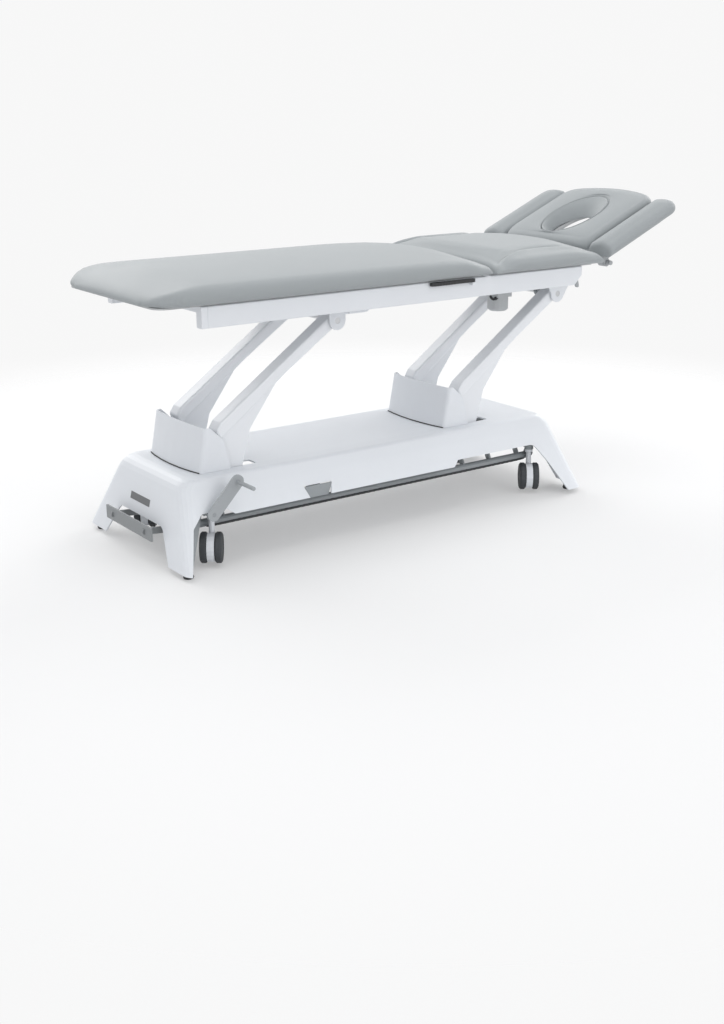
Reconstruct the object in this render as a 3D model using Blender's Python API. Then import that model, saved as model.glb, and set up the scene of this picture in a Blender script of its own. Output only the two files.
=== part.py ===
# Height-adjustable treatment table: a moulded base with two parallel pairs of lift arms,
# a two-rail top frame, a long tilting leg section, a fixed middle section and a
# tilting head section with a face hole and two drop-down armrests.
# Metres, +X towards the head end, +Y towards the far side, +Z up, floor at Z = 0.
import bmesh
import bpy
from math import asin, atan2, cos, hypot, pi, radians, sin, sqrt, tan
from mathutils import Vector

for old in list(bpy.data.objects):
    bpy.data.objects.remove(old, do_unlink=True)

# Clearances shared by every fitted pair
GAP = 0.0003
RUNNING_GAP = 0.0004
CUT_OVERRUN = 0.004
JOIN_OVERLAP = 0.002

# Lift: two pairs of arms, one parallelogram; outlines are measured from the lower pivot
COLUMN_SPACING = 0.945
LEFT_LOWER_PIVOT_X = -0.530
LOWER_PIVOT_Z = 0.240
ARM_REACH_X = 0.388
ARM_RISE_Z = 0.437
ARM_INNER_Y = 0.095
ARM_OUTER_Y = 0.151
ARM_GUSSET_INSET = 0.008
ARM_HUB_RADIUS = 0.032
ARM_LOBE_RADIUS = 0.024
ARM_EDGE_ROUNDING = 0.007
ARM_BEAM_FOOT = ((-0.040, 0.113, 0.010), (0.207, 0.297, 0.0))
ARM_BEAM_HEEL = ((-0.036, 0.1702, 0.012), (-0.052, 0.145, 0.012))
ARM_GUSSET_EDGE = ((0.069, 0.134), (0.178, 0.281), (0.150, 0.300), (-0.020, 0.165), (-0.050, 0.115))
ARM_BOSS_RADIUS = 0.020
PIVOT_SHAFT_RADIUS = 0.010
LOWER_SHAFT_HALF_LENGTH = 0.183
UPPER_SHAFT_HALF_LENGTH = 0.160
CRANK_Y = -0.060
CRANK_TIP = (-0.008, 0.0473)
CRANK_THICKNESS = 0.007
CRANK_HUB_RADIUS = 0.018
CRANK_TIP_RADIUS = 0.010
CRANK_PIN_RADIUS = 0.005
CRANK_PIN_HALF_LENGTH = 0.0145

# Base: moulded cover over a steel chassis
BASE_HEIGHT = 0.265
BASE_SKIRT_Z = 0.016
BASE_TOP_HALF_LENGTH = 0.737
BASE_FOOT_HALF_LENGTH = 0.795
BASE_TOP_HALF_WIDTH = 0.200
BASE_FOOT_HALF_WIDTH = 0.344
BASE_WALL = 0.005
BASE_CORNER_RADIUS = 0.042
BASE_END_FILLET = 0.050
BASE_SIDE_FILLET = 0.020
BASE_FILLET_ANGLES = (-20, 2, 22, 41, 58, 73, 90)
SIDE_ARCH_TOP_Z = 0.158
SIDE_ARCH_FOOT_END_TOP_Z = 0.174
SIDE_ARCH_HEAD_END_TOP_Z = 0.177
SIDE_ARCH_FOOT_END_X = (-0.782, -0.738, -0.700, -0.612, -0.590)
SIDE_ARCH_FOOT_END_KNEE_Z = 0.139
SIDE_ARCH_HEAD_END_X = (0.262, 0.285, 0.628, 0.667, 0.722)
SIDE_ARCH_HEAD_END_KNEE_Z = 0.119
BRACKET_NOTCH_MARGIN = 0.002
END_ARCH_TOP_Z = 0.118
END_ARCH_TOP_HALF_WIDTH = 0.137
END_ARCH_FOOT_HALF_WIDTH = 0.212
ARCH_CORNER_RADIUS = 0.030
SLOT_X = (-0.052, 0.088)
SLOT_CLEARANCE = 0.004
SLOT_CORNER_RADIUS = 0.008
PLATE_Y = (-0.041, 0.084)
PLATE_Z = (0.153, 0.175)
PLATE_THICKNESS = 0.0022
CHASSIS_BEAM_Y = (0.1545, 0.1870)
CHASSIS_BEAM_Z = (0.195, 0.2597)
CHASSIS_BEAM_HALF_LENGTH = 0.660
CROSS_BEAM_X = (0.630, 0.675)
CROSS_BEAM_Z = (0.195, 0.240)
CROSS_BEAM_HALF_WIDTH = 0.200
POST_HEAD = (0.666, 0.188, 0.215)
POST_HALF_SIZE = 0.0095
PANEL_BRACKET_X = (-0.330, -0.230)
PANEL_BRACKET_Y = (-0.2485, -0.2430)
PANEL_BRACKET_Z = (0.1530, 0.1900)
PANEL_BRACKET_SLOPE = 0.014
BRACKET_RIB_X = (-0.290, -0.270)
BRACKET_RIB_Y = (-0.2440, -0.170)
BRACKET_RIB_Z = (0.1720, 0.1890, 0.1970)
BRACKET_RIB_SHOULDER_Y = -0.215
FOOT_X = 0.770
FOOT_Y = 0.286
FOOT_RADIUS = 0.0165
FOOT_STEM_RADIUS = 0.004
FOOT_STEM_TOP_Z = 0.035

# Column covers standing on the deck
COVER_HEIGHT = 0.1353
COVER_WALL = 0.0035
COVER_FOOT_HALF_WIDTH = 0.1585
COVER_TOP_HALF_WIDTH = 0.1560
COVER_BACK_OFFSET = 0.118
COVER_BACK_LEAN = 0.0225
COVER_FOOT_BOW = 0.018
COVER_TOP_BOW = 0.009
COVER_FRONT_OFFSET = 0.011
COVER_FRONT_LEAN = 0.022
COVER_FRONT_HEIGHT = 0.0937
COVER_TOP_LENGTH = 0.018
COVER_CORNER_RADIUS = 0.014
COVER_LEVEL_SHARES = (0.0, 0.5, 1.0)
COVER_BOW_SHARES = (-0.72, -0.36, 0.0, 0.36, 0.72)

# Top frame
RAIL_FOOT_X = -0.700
RAIL_HEAD_X = 0.780
RAIL_OUTER_Y = 0.296
RAIL_WIDTH = 0.030
RAIL_TOP_Z = 0.7895
RAIL_HEIGHT = 0.0625
RAIL_EDGE = 0.004
RAIL_CAP_LENGTH = 0.020
RAIL_GROOVE = 0.0010
RAIL_CHAMFER = 0.030
FOOT_MEMBER_X = (-0.6725, -0.6475)
FOOT_MEMBER_Z = (0.7605, 0.7855)
SEAM_MEMBER_X = (0.385, 0.415)
SEAM_MEMBER_Z = (0.740, 0.765)
SEAM_EAR_Y = (0.175, 0.181)
MIDDLE_MEMBER_X = (0.600, 0.640)
MIDDLE_MEMBER_Z = (0.740, 0.765)
MEMBER_EDGE = 0.003
LEFT_BEAM_X = (-0.172, -0.112)
LEFT_BEAM_Z = (0.715, 0.760)
RIGHT_BEAM_X = (0.735, 0.778)
RIGHT_BEAM_Z = (0.752, 0.785)
BRACKET_Y = (0.1545, 0.1605)
BRACKET_LOBE_RADIUS = 0.030
BRACKET_TOP_INSET = 0.001
EAR_RADIUS = 0.013
GAS_LUG_X = (0.722, 0.745)
GAS_LUG_Y = (0.050, 0.070)
GAS_LUG_Z = (0.694, 0.757)

# Drives under the top
MOTOR_X = 0.620
MOTOR_Y = -0.052
MOTOR_RADIUS = 0.0365
MOTOR_Z = (0.623, 0.680)
GEARBOX_X = (0.588, 0.655)
GEARBOX_Y = (-0.088, -0.020)
GEARBOX_Z = (0.672, 0.7397)
GEARBOX_EDGE = 0.005
LIFT_TUBE_RADIUS = 0.017
LIFT_TUBE_HEAD_X = 0.735
LIFT_TUBE_BORE_X = 0.667
LIFT_LINE_Z = 0.7223
LIFT_ROD_RADIUS = 0.0090
LIFT_ROD_X = (0.684, 0.772)
FORK_BLOCK_X = (0.768, 0.778)
FORK_CHEEK_X = (0.768, 0.812)
FORK_CHEEK_Z = (0.7105, 0.739)
FORK_CHEEK_Y = (0.0080, 0.0145)
FORK_SLOT_Z = (0.7130, 0.7320)
FORK_SLOT_HALF_WIDTH = 0.006
CONTROL_BOX_X = (-0.1117, 0.0)
CONTROL_BOX_Y = (-0.150, 0.050)
CONTROL_BOX_Z = (0.690, 0.7597)
CONTROL_BOX_TAPER = 0.010
CONTROL_BOX_EDGE = 0.006
GAS_Y = 0.060
GAS_Z = 0.7067
GAS_CYLINDER_RADIUS = 0.011
GAS_CYLINDER_X = (0.500, 0.7217)
GAS_BORE_X = 0.700
GAS_ROD_RADIUS = 0.005
GAS_ROD_X = (0.396, 0.560)
GAS_PIN_X = 0.3722
GAS_CLEVIS_X = (0.360, 0.400)
GAS_BLOCK_X = (0.387, 0.400)
GAS_CHEEK_Y = (0.0045, 0.0100)
GAS_CLEVIS_HALF_HEIGHT = 0.010
GAS_HOLE_RADIUS = 0.0062

# Upholstery
CUSHION_UNDERSIDE_Z = 0.795
CUSHION_THICKNESS = 0.055
CUSHION_CROWN = 0.018
CUSHION_HALF_WIDTH = 0.335
CUSHION_EDGE_RADIUS = 0.030
CUSHION_LOWER_INSET = 0.024
CUSHION_CREASE_Y = 0.220
CUSHION_CREASE_DEPTH = 0.007
CUSHION_CREASE_START_X = 0.400
LEG_CUSHION_FOOT_X = -0.877
LEG_FOOT_BOW = 0.022
LEG_NOSE_LENGTH = 0.080
LEG_NOSE_DROP = 0.036
SEAM_DIP = 0.012
SEAM_DIP_LENGTH = 0.110
CORNER_PINCH = 0.018
LEG_CORNER_RADIUS = 0.085
SEAM_X = 0.360
SEAM_CLEARANCE = 0.0015
SEAM_FADE = 0.060
MIDDLE_CUSHION_HEAD_X = 0.863
MIDDLE_HEAD_LEAN = 0.028
MIDDLE_CORNER_RADIUS = 0.020
BOARD_Z = (0.7898, 0.7947)
BOARD_HALF_WIDTH = 0.290
BOARD_CORNER_RADIUS = 0.040
LEG_BOARD_X = (-0.835, 0.345)
MIDDLE_BOARD_X = (0.376, 0.835)
HINGE_Z = 0.776
HINGE_TUBE_RADIUS = 0.010
LEG_TILT = radians(20.0)
LEG_TUBE_HALF_LENGTH = 0.186
LEG_BAR_Y = (0.110, 0.135)
LEG_BAR_X = (-0.600, 0.362)
LEG_BAR_Z = (0.7680, 0.7895)
LEG_CROSS_X = (-0.595, -0.570)
LEG_CRANK_TIP = (0.0122, -0.0689)
LEG_CRANK_HALF_THICKNESS = 0.004
LEG_CRANK_RADIUS = 0.009
LEG_CRANK_PIN_RADIUS = 0.004

# Head section, drawn along itself: distance from the hinge, Y, height above the hinge line
HEAD_HINGE_X = 0.872
HEAD_REST_ANGLE = radians(23.0)
HEAD_PAD_START = 0.020
HEAD_PAD_TIP = 0.432
HEAD_PAD_START_LEAN = 0.014
HEAD_PAD_HALF_WIDTH = 0.216
HEAD_PAD_UNDERSIDE = 0.029
HEAD_PAD_THICKNESS = 0.050
HEAD_PAD_EDGE_RADIUS = 0.022
HEAD_PAD_LOWER_INSET = 0.010
HEAD_PAD_CORNER_RADIUS = 0.040
HEAD_PAD_BOW = 0.038
FACE_ALONG = 0.205
FACE_RIM_HALF_LENGTH = 0.144
FACE_RIM_HALF_WIDTH = 0.104
FACE_HOLE_HALF_LENGTH = 0.086
FACE_HOLE_HALF_WIDTH = 0.058
FACE_BOARD_MARGIN = 0.012
HEAD_BOARD_S = (0.045, 0.378)
HEAD_BOARD_N = (0.0165, 0.0287)
HEAD_BOARD_HALF_WIDTH = 0.190
HEAD_TUBE_HALF_LENGTH = 0.166
HEAD_BAR_Y = (0.137, 0.149)
HEAD_BAR_S = (0.004, 0.365)
HEAD_BAR_N = (-0.004, 0.0162)
HEAD_CROSS_S = (0.340, 0.364)
HEAD_CROSS_N = (0.000, 0.0158)
QUADRANT_Y = (-0.1367, -0.1310)
QUADRANT_RADIUS = 0.026
QUADRANT_TOOTH = 0.0035
QUADRANT_TEETH = 12
QUADRANT_SPAN = (radians(208.0), radians(328.0))
LATCH_X = 0.858
LATCH_Z = 0.733
LATCH_SHAFT_RADIUS = 0.006
LATCH_SHAFT_Y = (-0.192, -0.129)
LATCH_PAWL_Y = (-0.1360, -0.1300)
LATCH_HANDLE_Y = (-0.192, -0.184)
LATCH_HANDLE_TIP = (0.010, -0.030)
LATCH_CLEARANCE = 0.0006
WING_PIVOT_S = 0.045
WING_PIVOT_N = -0.004
WING_SHAFT_RADIUS = 0.008
WING_SHAFT_HALF_LENGTH = 0.300
WING_HUB_RADIUS = 0.0145
WING_ARM_Y = (0.250, 0.280)
WING_ARM_S = (0.036, 0.335)
WING_ARM_N = (0.006, 0.0307)
WING_PAD_Y = (0.221, 0.335)
WING_PAD_UNDERSIDE = 0.031
WING_PAD_THICKNESS = 0.046
WING_PAD_TIP = 0.398
WING_EDGE_RADIUS = 0.020
WING_CORNER_RADIUS = 0.050

# Castors
CASTOR_X = 0.645
CASTOR_Y = 0.212
AXLE_Z = 0.0555
WHEEL_RADIUS = 0.0475
AXLE_RADIUS = 0.005
WHEEL_PROFILE = (
    (0.0, 0.0325), (0.0170, 0.0325), (0.0330, 0.0300), (0.0430, 0.0330),
    (0.0475, 0.0290), (0.0475, 0.0160), (0.0430, 0.0120), (0.0050, 0.0117),
)
FENDER_HALF_THICKNESS = 0.0112
FENDER_RADIUS = 0.0450
FENDER_ANGLES = (radians(-52.0), radians(232.0))
CASTOR_TRAIL = 0.020
CASTOR_REST_TURN = radians(54.0)
STEM_RADIUS = 0.009
STEM_FOOT_Z = 0.088
STEM_TOP_Z = 0.162
COLLAR_RADIUS = 0.0135
COLLAR_Z = (0.138, 0.1497)
CARRIER_HALF_WIDTH = 0.0125
CARRIER_Z = (0.150, 0.172)
CARRIER_BEAM_FOOT_Z = 0.156
CARRIER_BOSS_RADIUS = 0.0155
GUIDE_Y = 0.100
GUIDE_RADIUS = 0.006
GUIDE_TOP_Z = 0.236

# Foot controls
FOOT_BAR_Y = 0.180
FOOT_BAR_Z = 0.120
FOOT_BAR_RADIUS = 0.0125
FOOT_BAR_HALF_LENGTH = 0.695
FOOT_BAR_BEND = 0.030
FOOT_BAR_END_Y = 0.145
HANGER_X = (-0.585, 0.370, 0.490, 0.620)
HANGER_PIVOT_Y = 0.150
HANGER_PIVOT_Z = 0.175
HANGER_RADIUS = 0.010
HANGER_THICKNESS = 0.006
HANGER_PIN_RADIUS = 0.004
LUG_ROOT = (0.166, 0.203)
PEDAL_X = -0.813
PEDAL_HALF_WIDTH = 0.150
PEDAL_THICKNESS = 0.005
PEDAL_Z = (0.082, 0.125)
PEDAL_PIVOT_X = -0.695
PEDAL_PIVOT_Z = 0.092
PEDAL_ARM_Y = (0.1014, 0.1080)
PEDAL_ARM_RADIUS = 0.010
PEDAL_LUG_Y = (0.095, 0.101)
PEDAL_LUG_ROOT = (-0.666, 0.203)
LEVER_Y = (0.2690, 0.2758)
LEVER_PIVOT_X = -0.670
LEVER_PIVOT_Z = 0.172
LEVER_REACH_X = 0.083
LEVER_RISE_Z = 0.088
LEVER_FOOT_RADIUS = 0.020
LEVER_HEAD_RADIUS = 0.021
LEVER_ROD_RADIUS = 0.0062
LEVER_ROD_TIP_Y = 0.366
LEVER_PIN_RADIUS = 0.006
LEVER_LUG_X = (-0.6780, -0.6615)
LEVER_LUG_Y = (-0.228, -0.190)
LEVER_LUG_Z = (0.158, 0.200)

# Release handle under the near side
HANDLE_HINGE_X = 0.285
HANDLE_Y = 0.305
HANDLE_LENGTH = 0.174
HANDLE_HALF_WIDTH = 0.006
HANDLE_Z = (0.7780, 0.7885)
HANDLE_EDGE = 0.002
HANDLE_LUG_X = (0.277, 0.293)
HANDLE_LUG_Y = (-0.3120, -0.2940)
HANDLE_LUG_Z = (0.7695, 0.7777)
HANDLE_PIN_RADIUS = 0.003
HANDLE_PIN_TOP_Z = 0.7855

# Points that follow from the sizes above
RIGHT_LOWER_PIVOT_X = LEFT_LOWER_PIVOT_X + COLUMN_SPACING
LEFT_UPPER_PIVOT_X = LEFT_LOWER_PIVOT_X + ARM_REACH_X
RIGHT_UPPER_PIVOT_X = RIGHT_LOWER_PIVOT_X + ARM_REACH_X
UPPER_PIVOT_Z = LOWER_PIVOT_Z + ARM_RISE_Z
RAIL_INNER_Y = RAIL_OUTER_Y - RAIL_WIDTH
MEMBER_HALF_WIDTH = RAIL_INNER_Y - GAP
HEAD_TIP_X = (
    HEAD_HINGE_X
    + (HEAD_PAD_TIP - HEAD_PAD_LOWER_INSET * 0.3) * cos(HEAD_REST_ANGLE)
    - (HEAD_PAD_UNDERSIDE + HEAD_PAD_THICKNESS * 0.12) * sin(HEAD_REST_ANGLE)
)
DATUM_X = -(HEAD_TIP_X + LEG_CUSHION_FOOT_X) / 2
DATUM_Y = (LEVER_ROD_TIP_Y - max(CUSHION_HALF_WIDTH, BASE_FOOT_HALF_WIDTH)) / 2

# Materials


def material(name, colour, roughness, metallic=0.0):
    made = bpy.data.materials.new(name)
    made.use_nodes = True
    shader = made.node_tree.nodes["Principled BSDF"]
    shader.inputs["Base Color"].default_value = (*colour, 1.0)
    shader.inputs["Roughness"].default_value = roughness
    shader.inputs["Metallic"].default_value = metallic
    made.diffuse_color = (*colour, 1.0)
    return made


WHITE_PAINT = ((0.80, 0.82, 0.84), 0.38, 0.0)
WHITE_MOULDING = ((0.82, 0.83, 0.85), 0.45, 0.0)
GREY_LEATHERETTE = ((0.42, 0.44, 0.45), 0.55, 0.0)
BOARD_GREY = ((0.20, 0.20, 0.21), 0.70, 0.0)
GREY_PAINT = ((0.24, 0.25, 0.27), 0.45, 0.2)
BRIGHT_STEEL = ((0.60, 0.61, 0.63), 0.30, 1.0)
DARK_PLASTIC = ((0.05, 0.05, 0.055), 0.55, 0.0)
TYRE_GREY = ((0.06, 0.065, 0.07), 0.60, 0.0)


# Frames: an empty on each joint's axis carries the pieces that move about it

frames = {}


def add_frame(name, parent, place, tilt=0.0, turn=0.0, local=False):
    empty = bpy.data.objects.new(name + "_axis", None)
    bpy.context.scene.collection.objects.link(empty)
    if parent:
        empty.parent = frames[parent][0]
        empty.location = Vector(place) - frames[parent][1]
    else:
        empty.location = Vector(place)
    empty.rotation_euler = (0.0, -tilt, turn)
    drawn_origin = Vector((0.0, 0.0, 0.0)) if local or not parent else Vector(place)
    frames[name] = (empty, drawn_origin)


def mesh_object(name, shape, frame, paint):
    bmesh.ops.recalc_face_normals(shape, faces=shape.faces[:])
    empty, drawn_origin = frames[frame]
    bmesh.ops.translate(shape, verts=shape.verts[:], vec=-drawn_origin)
    mesh = bpy.data.meshes.new(name)
    shape.to_mesh(mesh)
    shape.free()
    made = bpy.data.objects.new(name, mesh)
    bpy.context.scene.collection.objects.link(made)
    made.parent = empty
    if paint:
        mesh.materials.append(material(name, *paint))
    return made


def solid(name, frame, paint, shape, joins=(), cuts=(), rounding=0.0, rounds=2, crease=35.0):
    """A piece: its first shape, rounded if asked, joined with others, then cut."""
    made = mesh_object(name, shape, frame, paint)
    made.data.shade_smooth()
    made.data.set_sharp_from_angle(angle=radians(crease))
    if rounding:
        bevel = made.modifiers.new("edges", "BEVEL")
        bevel.width = rounding
        bevel.segments = rounds
        bevel.limit_method = "ANGLE"
        bevel.angle_limit = radians(crease)
    tools = [(tool, "UNION") for tool in joins] + [(tool, "DIFFERENCE") for tool in cuts]
    for number, (tool, operation) in enumerate(tools):
        helper = mesh_object(f"{name}_tool_{number}", tool, frame, None)
        helper.hide_render = True
        helper.display_type = "WIRE"
        boolean = made.modifiers.new(f"tool_{number}", "BOOLEAN")
        boolean.operation = operation
        boolean.solver = "EXACT"
        boolean.object = helper
    return made


# Shapes


def at(axis, along, first, second):
    """A point from its place along an axis and its two other coordinates in X, Y, Z order."""
    if axis == "x":
        return Vector((along, first, second))
    if axis == "y":
        return Vector((first, along, second))
    return Vector((first, second, along))


def loft(loops, closed=False):
    """A body through equal loops: capped at its ends, or closed on itself like a ring."""
    shape = bmesh.new()
    rings = [[shape.verts.new(point) for point in loop] for loop in loops]
    count = len(rings[0])
    pairs = list(zip(rings, rings[1:] + rings[:1])) if closed else list(zip(rings, rings[1:]))
    for low, high in pairs:
        for index in range(count):
            after = (index + 1) % count
            shape.faces.new((low[index], low[after], high[after], high[index]))
    if not closed:
        shape.faces.new(rings[0][::-1])
        shape.faces.new(rings[-1])
    return shape


def prism(outline, axis, low, high):
    """An outline drawn in the two other axes, in X, Y, Z order, carried from low to high."""
    return loft([[at(axis, along, first, second) for first, second in outline] for along in (low, high)])


def box(low, high):
    (x0, y0, z0), (x1, y1, z1) = low, high
    return prism([(x0, y0), (x1, y0), (x1, y1), (x0, y1)], "z", z0, z1)


def block(x, y, z, size):
    """A box by its centre and its full sizes."""
    half = [value / 2 for value in size]
    return box((x - half[0], y - half[1], z - half[2]), (x + half[0], y + half[1], z + half[2]))


def arc(centre, radius, start, end, steps):
    return [
        (
            centre[0] + radius * cos(start + (end - start) * step / steps),
            centre[1] + radius * sin(start + (end - start) * step / steps),
        )
        for step in range(steps + 1)
    ]


def rounded(corners, steps=4):
    """An outline whose corners, given as x, y and radius, are turned into arcs."""
    outline = []
    for index, (x, y, radius) in enumerate(corners):
        if not radius:
            outline.append((x, y))
            continue
        before = Vector(corners[index - 1][:2]) - Vector((x, y))
        after = Vector(corners[(index + 1) % len(corners)][:2]) - Vector((x, y))
        half = before.angle(after) / 2
        centre = Vector((x, y)) + (before.normalized() + after.normalized()).normalized() * radius / sin(half)
        first = Vector((x, y)) + before.normalized() * radius / tan(half) - centre
        last = Vector((x, y)) + after.normalized() * radius / tan(half) - centre
        start = atan2(first.y, first.x)
        sweep = (atan2(last.y, last.x) - start + pi) % (2 * pi) - pi
        outline += arc(centre, radius, start, start + sweep, steps)
    return outline


def strap(first, second, radius, steps=4, second_radius=None):
    """The outline round two circles: a bar with a round end at each pivot."""
    other = radius if second_radius is None else second_radius
    run = Vector(second) - Vector(first)
    lean = atan2(run.y, run.x)
    swell = asin((radius - other) / run.length)
    side = pi / 2 - swell
    head = arc(second, other, lean - side, lean + side, steps)
    return head + arc(first, radius, lean + side, lean + 2 * pi - side, steps)


def bar(start, end, radius, sides=12):
    """A round bar between two points."""
    run = Vector(end) - Vector(start)
    turn = run.to_track_quat("Z", "Y").to_matrix()
    loops = []
    for centre in (Vector(start), Vector(end)):
        loops.append([centre + turn @ Vector((*spot, 0.0)) for spot in arc((0, 0), radius, 0, 2 * pi, sides)[:-1]])
    return loft(loops)


def turned(profile, centre, direction, sides=14):
    """A profile of radius and height pairs, turned about a direction; its ends lie on the axis."""
    turn = Vector(direction).to_track_quat("Z", "Y").to_matrix()
    shape = bmesh.new()
    rings = []
    for radius, height in profile:
        spots = arc((0, 0), radius, 0, 2 * pi, sides)[:-1] if radius else [(0, 0)]
        rings.append([shape.verts.new(Vector(centre) + turn @ Vector((*spot, height))) for spot in spots])
    for low, high in zip(rings, rings[1:]):
        for index in range(sides):
            after = (index + 1) % sides
            corners = [low[index % len(low)], low[after % len(low)], high[after % len(high)], high[index % len(high)]]
            unique = list(dict.fromkeys(corners))
            shape.faces.new(unique)
    return shape


def swept(path, radius, sides=12):
    """A round bar along a bent path."""
    points = [Vector(point) for point in path]
    loops = []
    frame = None
    for index, point in enumerate(points):
        ahead = points[min(index + 1, len(points) - 1)] - points[max(index - 1, 0)]
        turn = ahead.to_track_quat("Z", "Y").to_matrix() if frame is None else None
        if frame is None:
            frame = turn.col[0].copy()
        frame = (frame - ahead.normalized() * frame.dot(ahead.normalized())).normalized()
        side = ahead.normalized().cross(frame)
        loops.append([point + frame * a + side * b for a, b in arc((0, 0), radius, 0, 2 * pi, sides)[:-1]])
    return loft(loops)




def slab(x, y, z):
    return box((min(x), min(y), min(z)), (max(x), max(y), max(z)))


def flip(values, sign):
    return tuple(sign * value for value in values)


def shifted(outline, x, z):
    return [(x + first, z + second) for first, second in outline]


def drilled(axis, along, first, second, radius, sides=12):
    """A cutter bar along an axis, from one place to another, overrunning both ends."""
    low, high = min(along) - CUT_OVERRUN, max(along) + CUT_OVERRUN
    return bar(at(axis, low, first, second), at(axis, high, first, second), radius, sides)


def pin(axis, along, first, second, radius, sides=12):
    return bar(at(axis, min(along), first, second), at(axis, max(along), first, second), radius, sides)


# Lift arms


def lift_arm(name, frame, side, pivot_x, upper_clearance):
    lobe = arc((ARM_REACH_X, ARM_RISE_Z), ARM_LOBE_RADIUS, radians(-105), radians(124.9), 9)
    beam = rounded([*ARM_BEAM_FOOT, *[(x, z, 0) for x, z in lobe], *ARM_BEAM_HEEL])
    body = prism(shifted(beam, pivot_x, LOWER_PIVOT_Z), "y", *flip((ARM_INNER_Y, ARM_OUTER_Y), side))
    hub = arc((0, 0), ARM_HUB_RADIUS, radians(159), radians(349), 10)
    gusset = shifted(hub + list(ARM_GUSSET_EDGE), pivot_x, LOWER_PIVOT_Z)
    gusset_y = (ARM_INNER_Y + ARM_GUSSET_INSET, ARM_OUTER_Y - ARM_GUSSET_INSET)
    boss_y = (ARM_OUTER_Y - ARM_GUSSET_INSET - JOIN_OVERLAP, CHASSIS_BEAM_Y[0] - RUNNING_GAP)
    arm_y = (ARM_INNER_Y, CHASSIS_BEAM_Y[0])
    lower = (pivot_x, LOWER_PIVOT_Z)
    upper = (pivot_x + ARM_REACH_X, UPPER_PIVOT_Z)
    solid(
        name,
        frame,
        WHITE_PAINT,
        body,
        joins=[
            prism(gusset, "y", *flip(gusset_y, side)),
            pin("y", flip(boss_y, side), *lower, ARM_BOSS_RADIUS, 18),
        ],
        cuts=[
            drilled("y", flip(arm_y, side), *lower, PIVOT_SHAFT_RADIUS + GAP, 16),
            drilled("y", flip(arm_y, side), *upper, PIVOT_SHAFT_RADIUS + upper_clearance, 16),
        ],
        rounding=ARM_EDGE_ROUNDING,
        rounds=2,
    )


def cross_shaft(name, frame, x, z, half_length):
    solid(name, frame, BRIGHT_STEEL, bar((x, -half_length, z), (x, half_length, z), PIVOT_SHAFT_RADIUS, 16))


def lift_crank():
    pivot = (RIGHT_UPPER_PIVOT_X, UPPER_PIVOT_Z)
    tip = (pivot[0] + CRANK_TIP[0], pivot[1] + CRANK_TIP[1])
    half = CRANK_THICKNESS / 2
    outline = strap(pivot, tip, CRANK_HUB_RADIUS, 6, CRANK_TIP_RADIUS)
    plate_y = (CRANK_Y - half, CRANK_Y + half)
    pin_y = (CRANK_Y - CRANK_PIN_HALF_LENGTH, CRANK_Y + CRANK_PIN_HALF_LENGTH)
    solid(
        "lift_crank",
        "arms_right",
        GREY_PAINT,
        prism(outline, "y", *plate_y),
        joins=[pin("y", pin_y, *tip, CRANK_PIN_RADIUS)],
        cuts=[drilled("y", plate_y, *pivot, PIVOT_SHAFT_RADIUS + GAP, 16)],
    )


# Base


def base_half(z, foot, top, radius, inset):
    """Half the base's size at a height: a leaning wall, rounded over into the flat top."""
    lean = (foot - top) / (BASE_HEIGHT - BASE_SKIRT_Z)
    slant = hypot(1, lean)
    centre_z = BASE_HEIGHT - radius
    centre = foot - lean * (centre_z - BASE_SKIRT_Z) - radius * slant
    arc_radius = radius - inset
    if z <= centre_z + arc_radius * lean / slant:
        return foot - lean * (z - BASE_SKIRT_Z) - inset * slant
    return centre + sqrt(max(0, arc_radius ** 2 - (z - centre_z) ** 2))


def base_loop(z, inset):
    length = base_half(z, BASE_FOOT_HALF_LENGTH, BASE_TOP_HALF_LENGTH, BASE_END_FILLET, inset)
    width = base_half(z, BASE_FOOT_HALF_WIDTH, BASE_TOP_HALF_WIDTH, BASE_SIDE_FILLET, inset)
    corner = BASE_CORNER_RADIUS - inset
    corners = [(length, -width, corner), (length, width, corner), (-length, width, corner), (-length, -width, corner)]
    return [(x, y, z) for x, y in rounded(corners, 5)]


def base_levels(inset):
    radius = BASE_END_FILLET - inset
    centre_z = BASE_HEIGHT - BASE_END_FILLET
    return [BASE_SKIRT_Z] + [centre_z + radius * sin(radians(angle)) for angle in BASE_FILLET_ANGLES]


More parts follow.
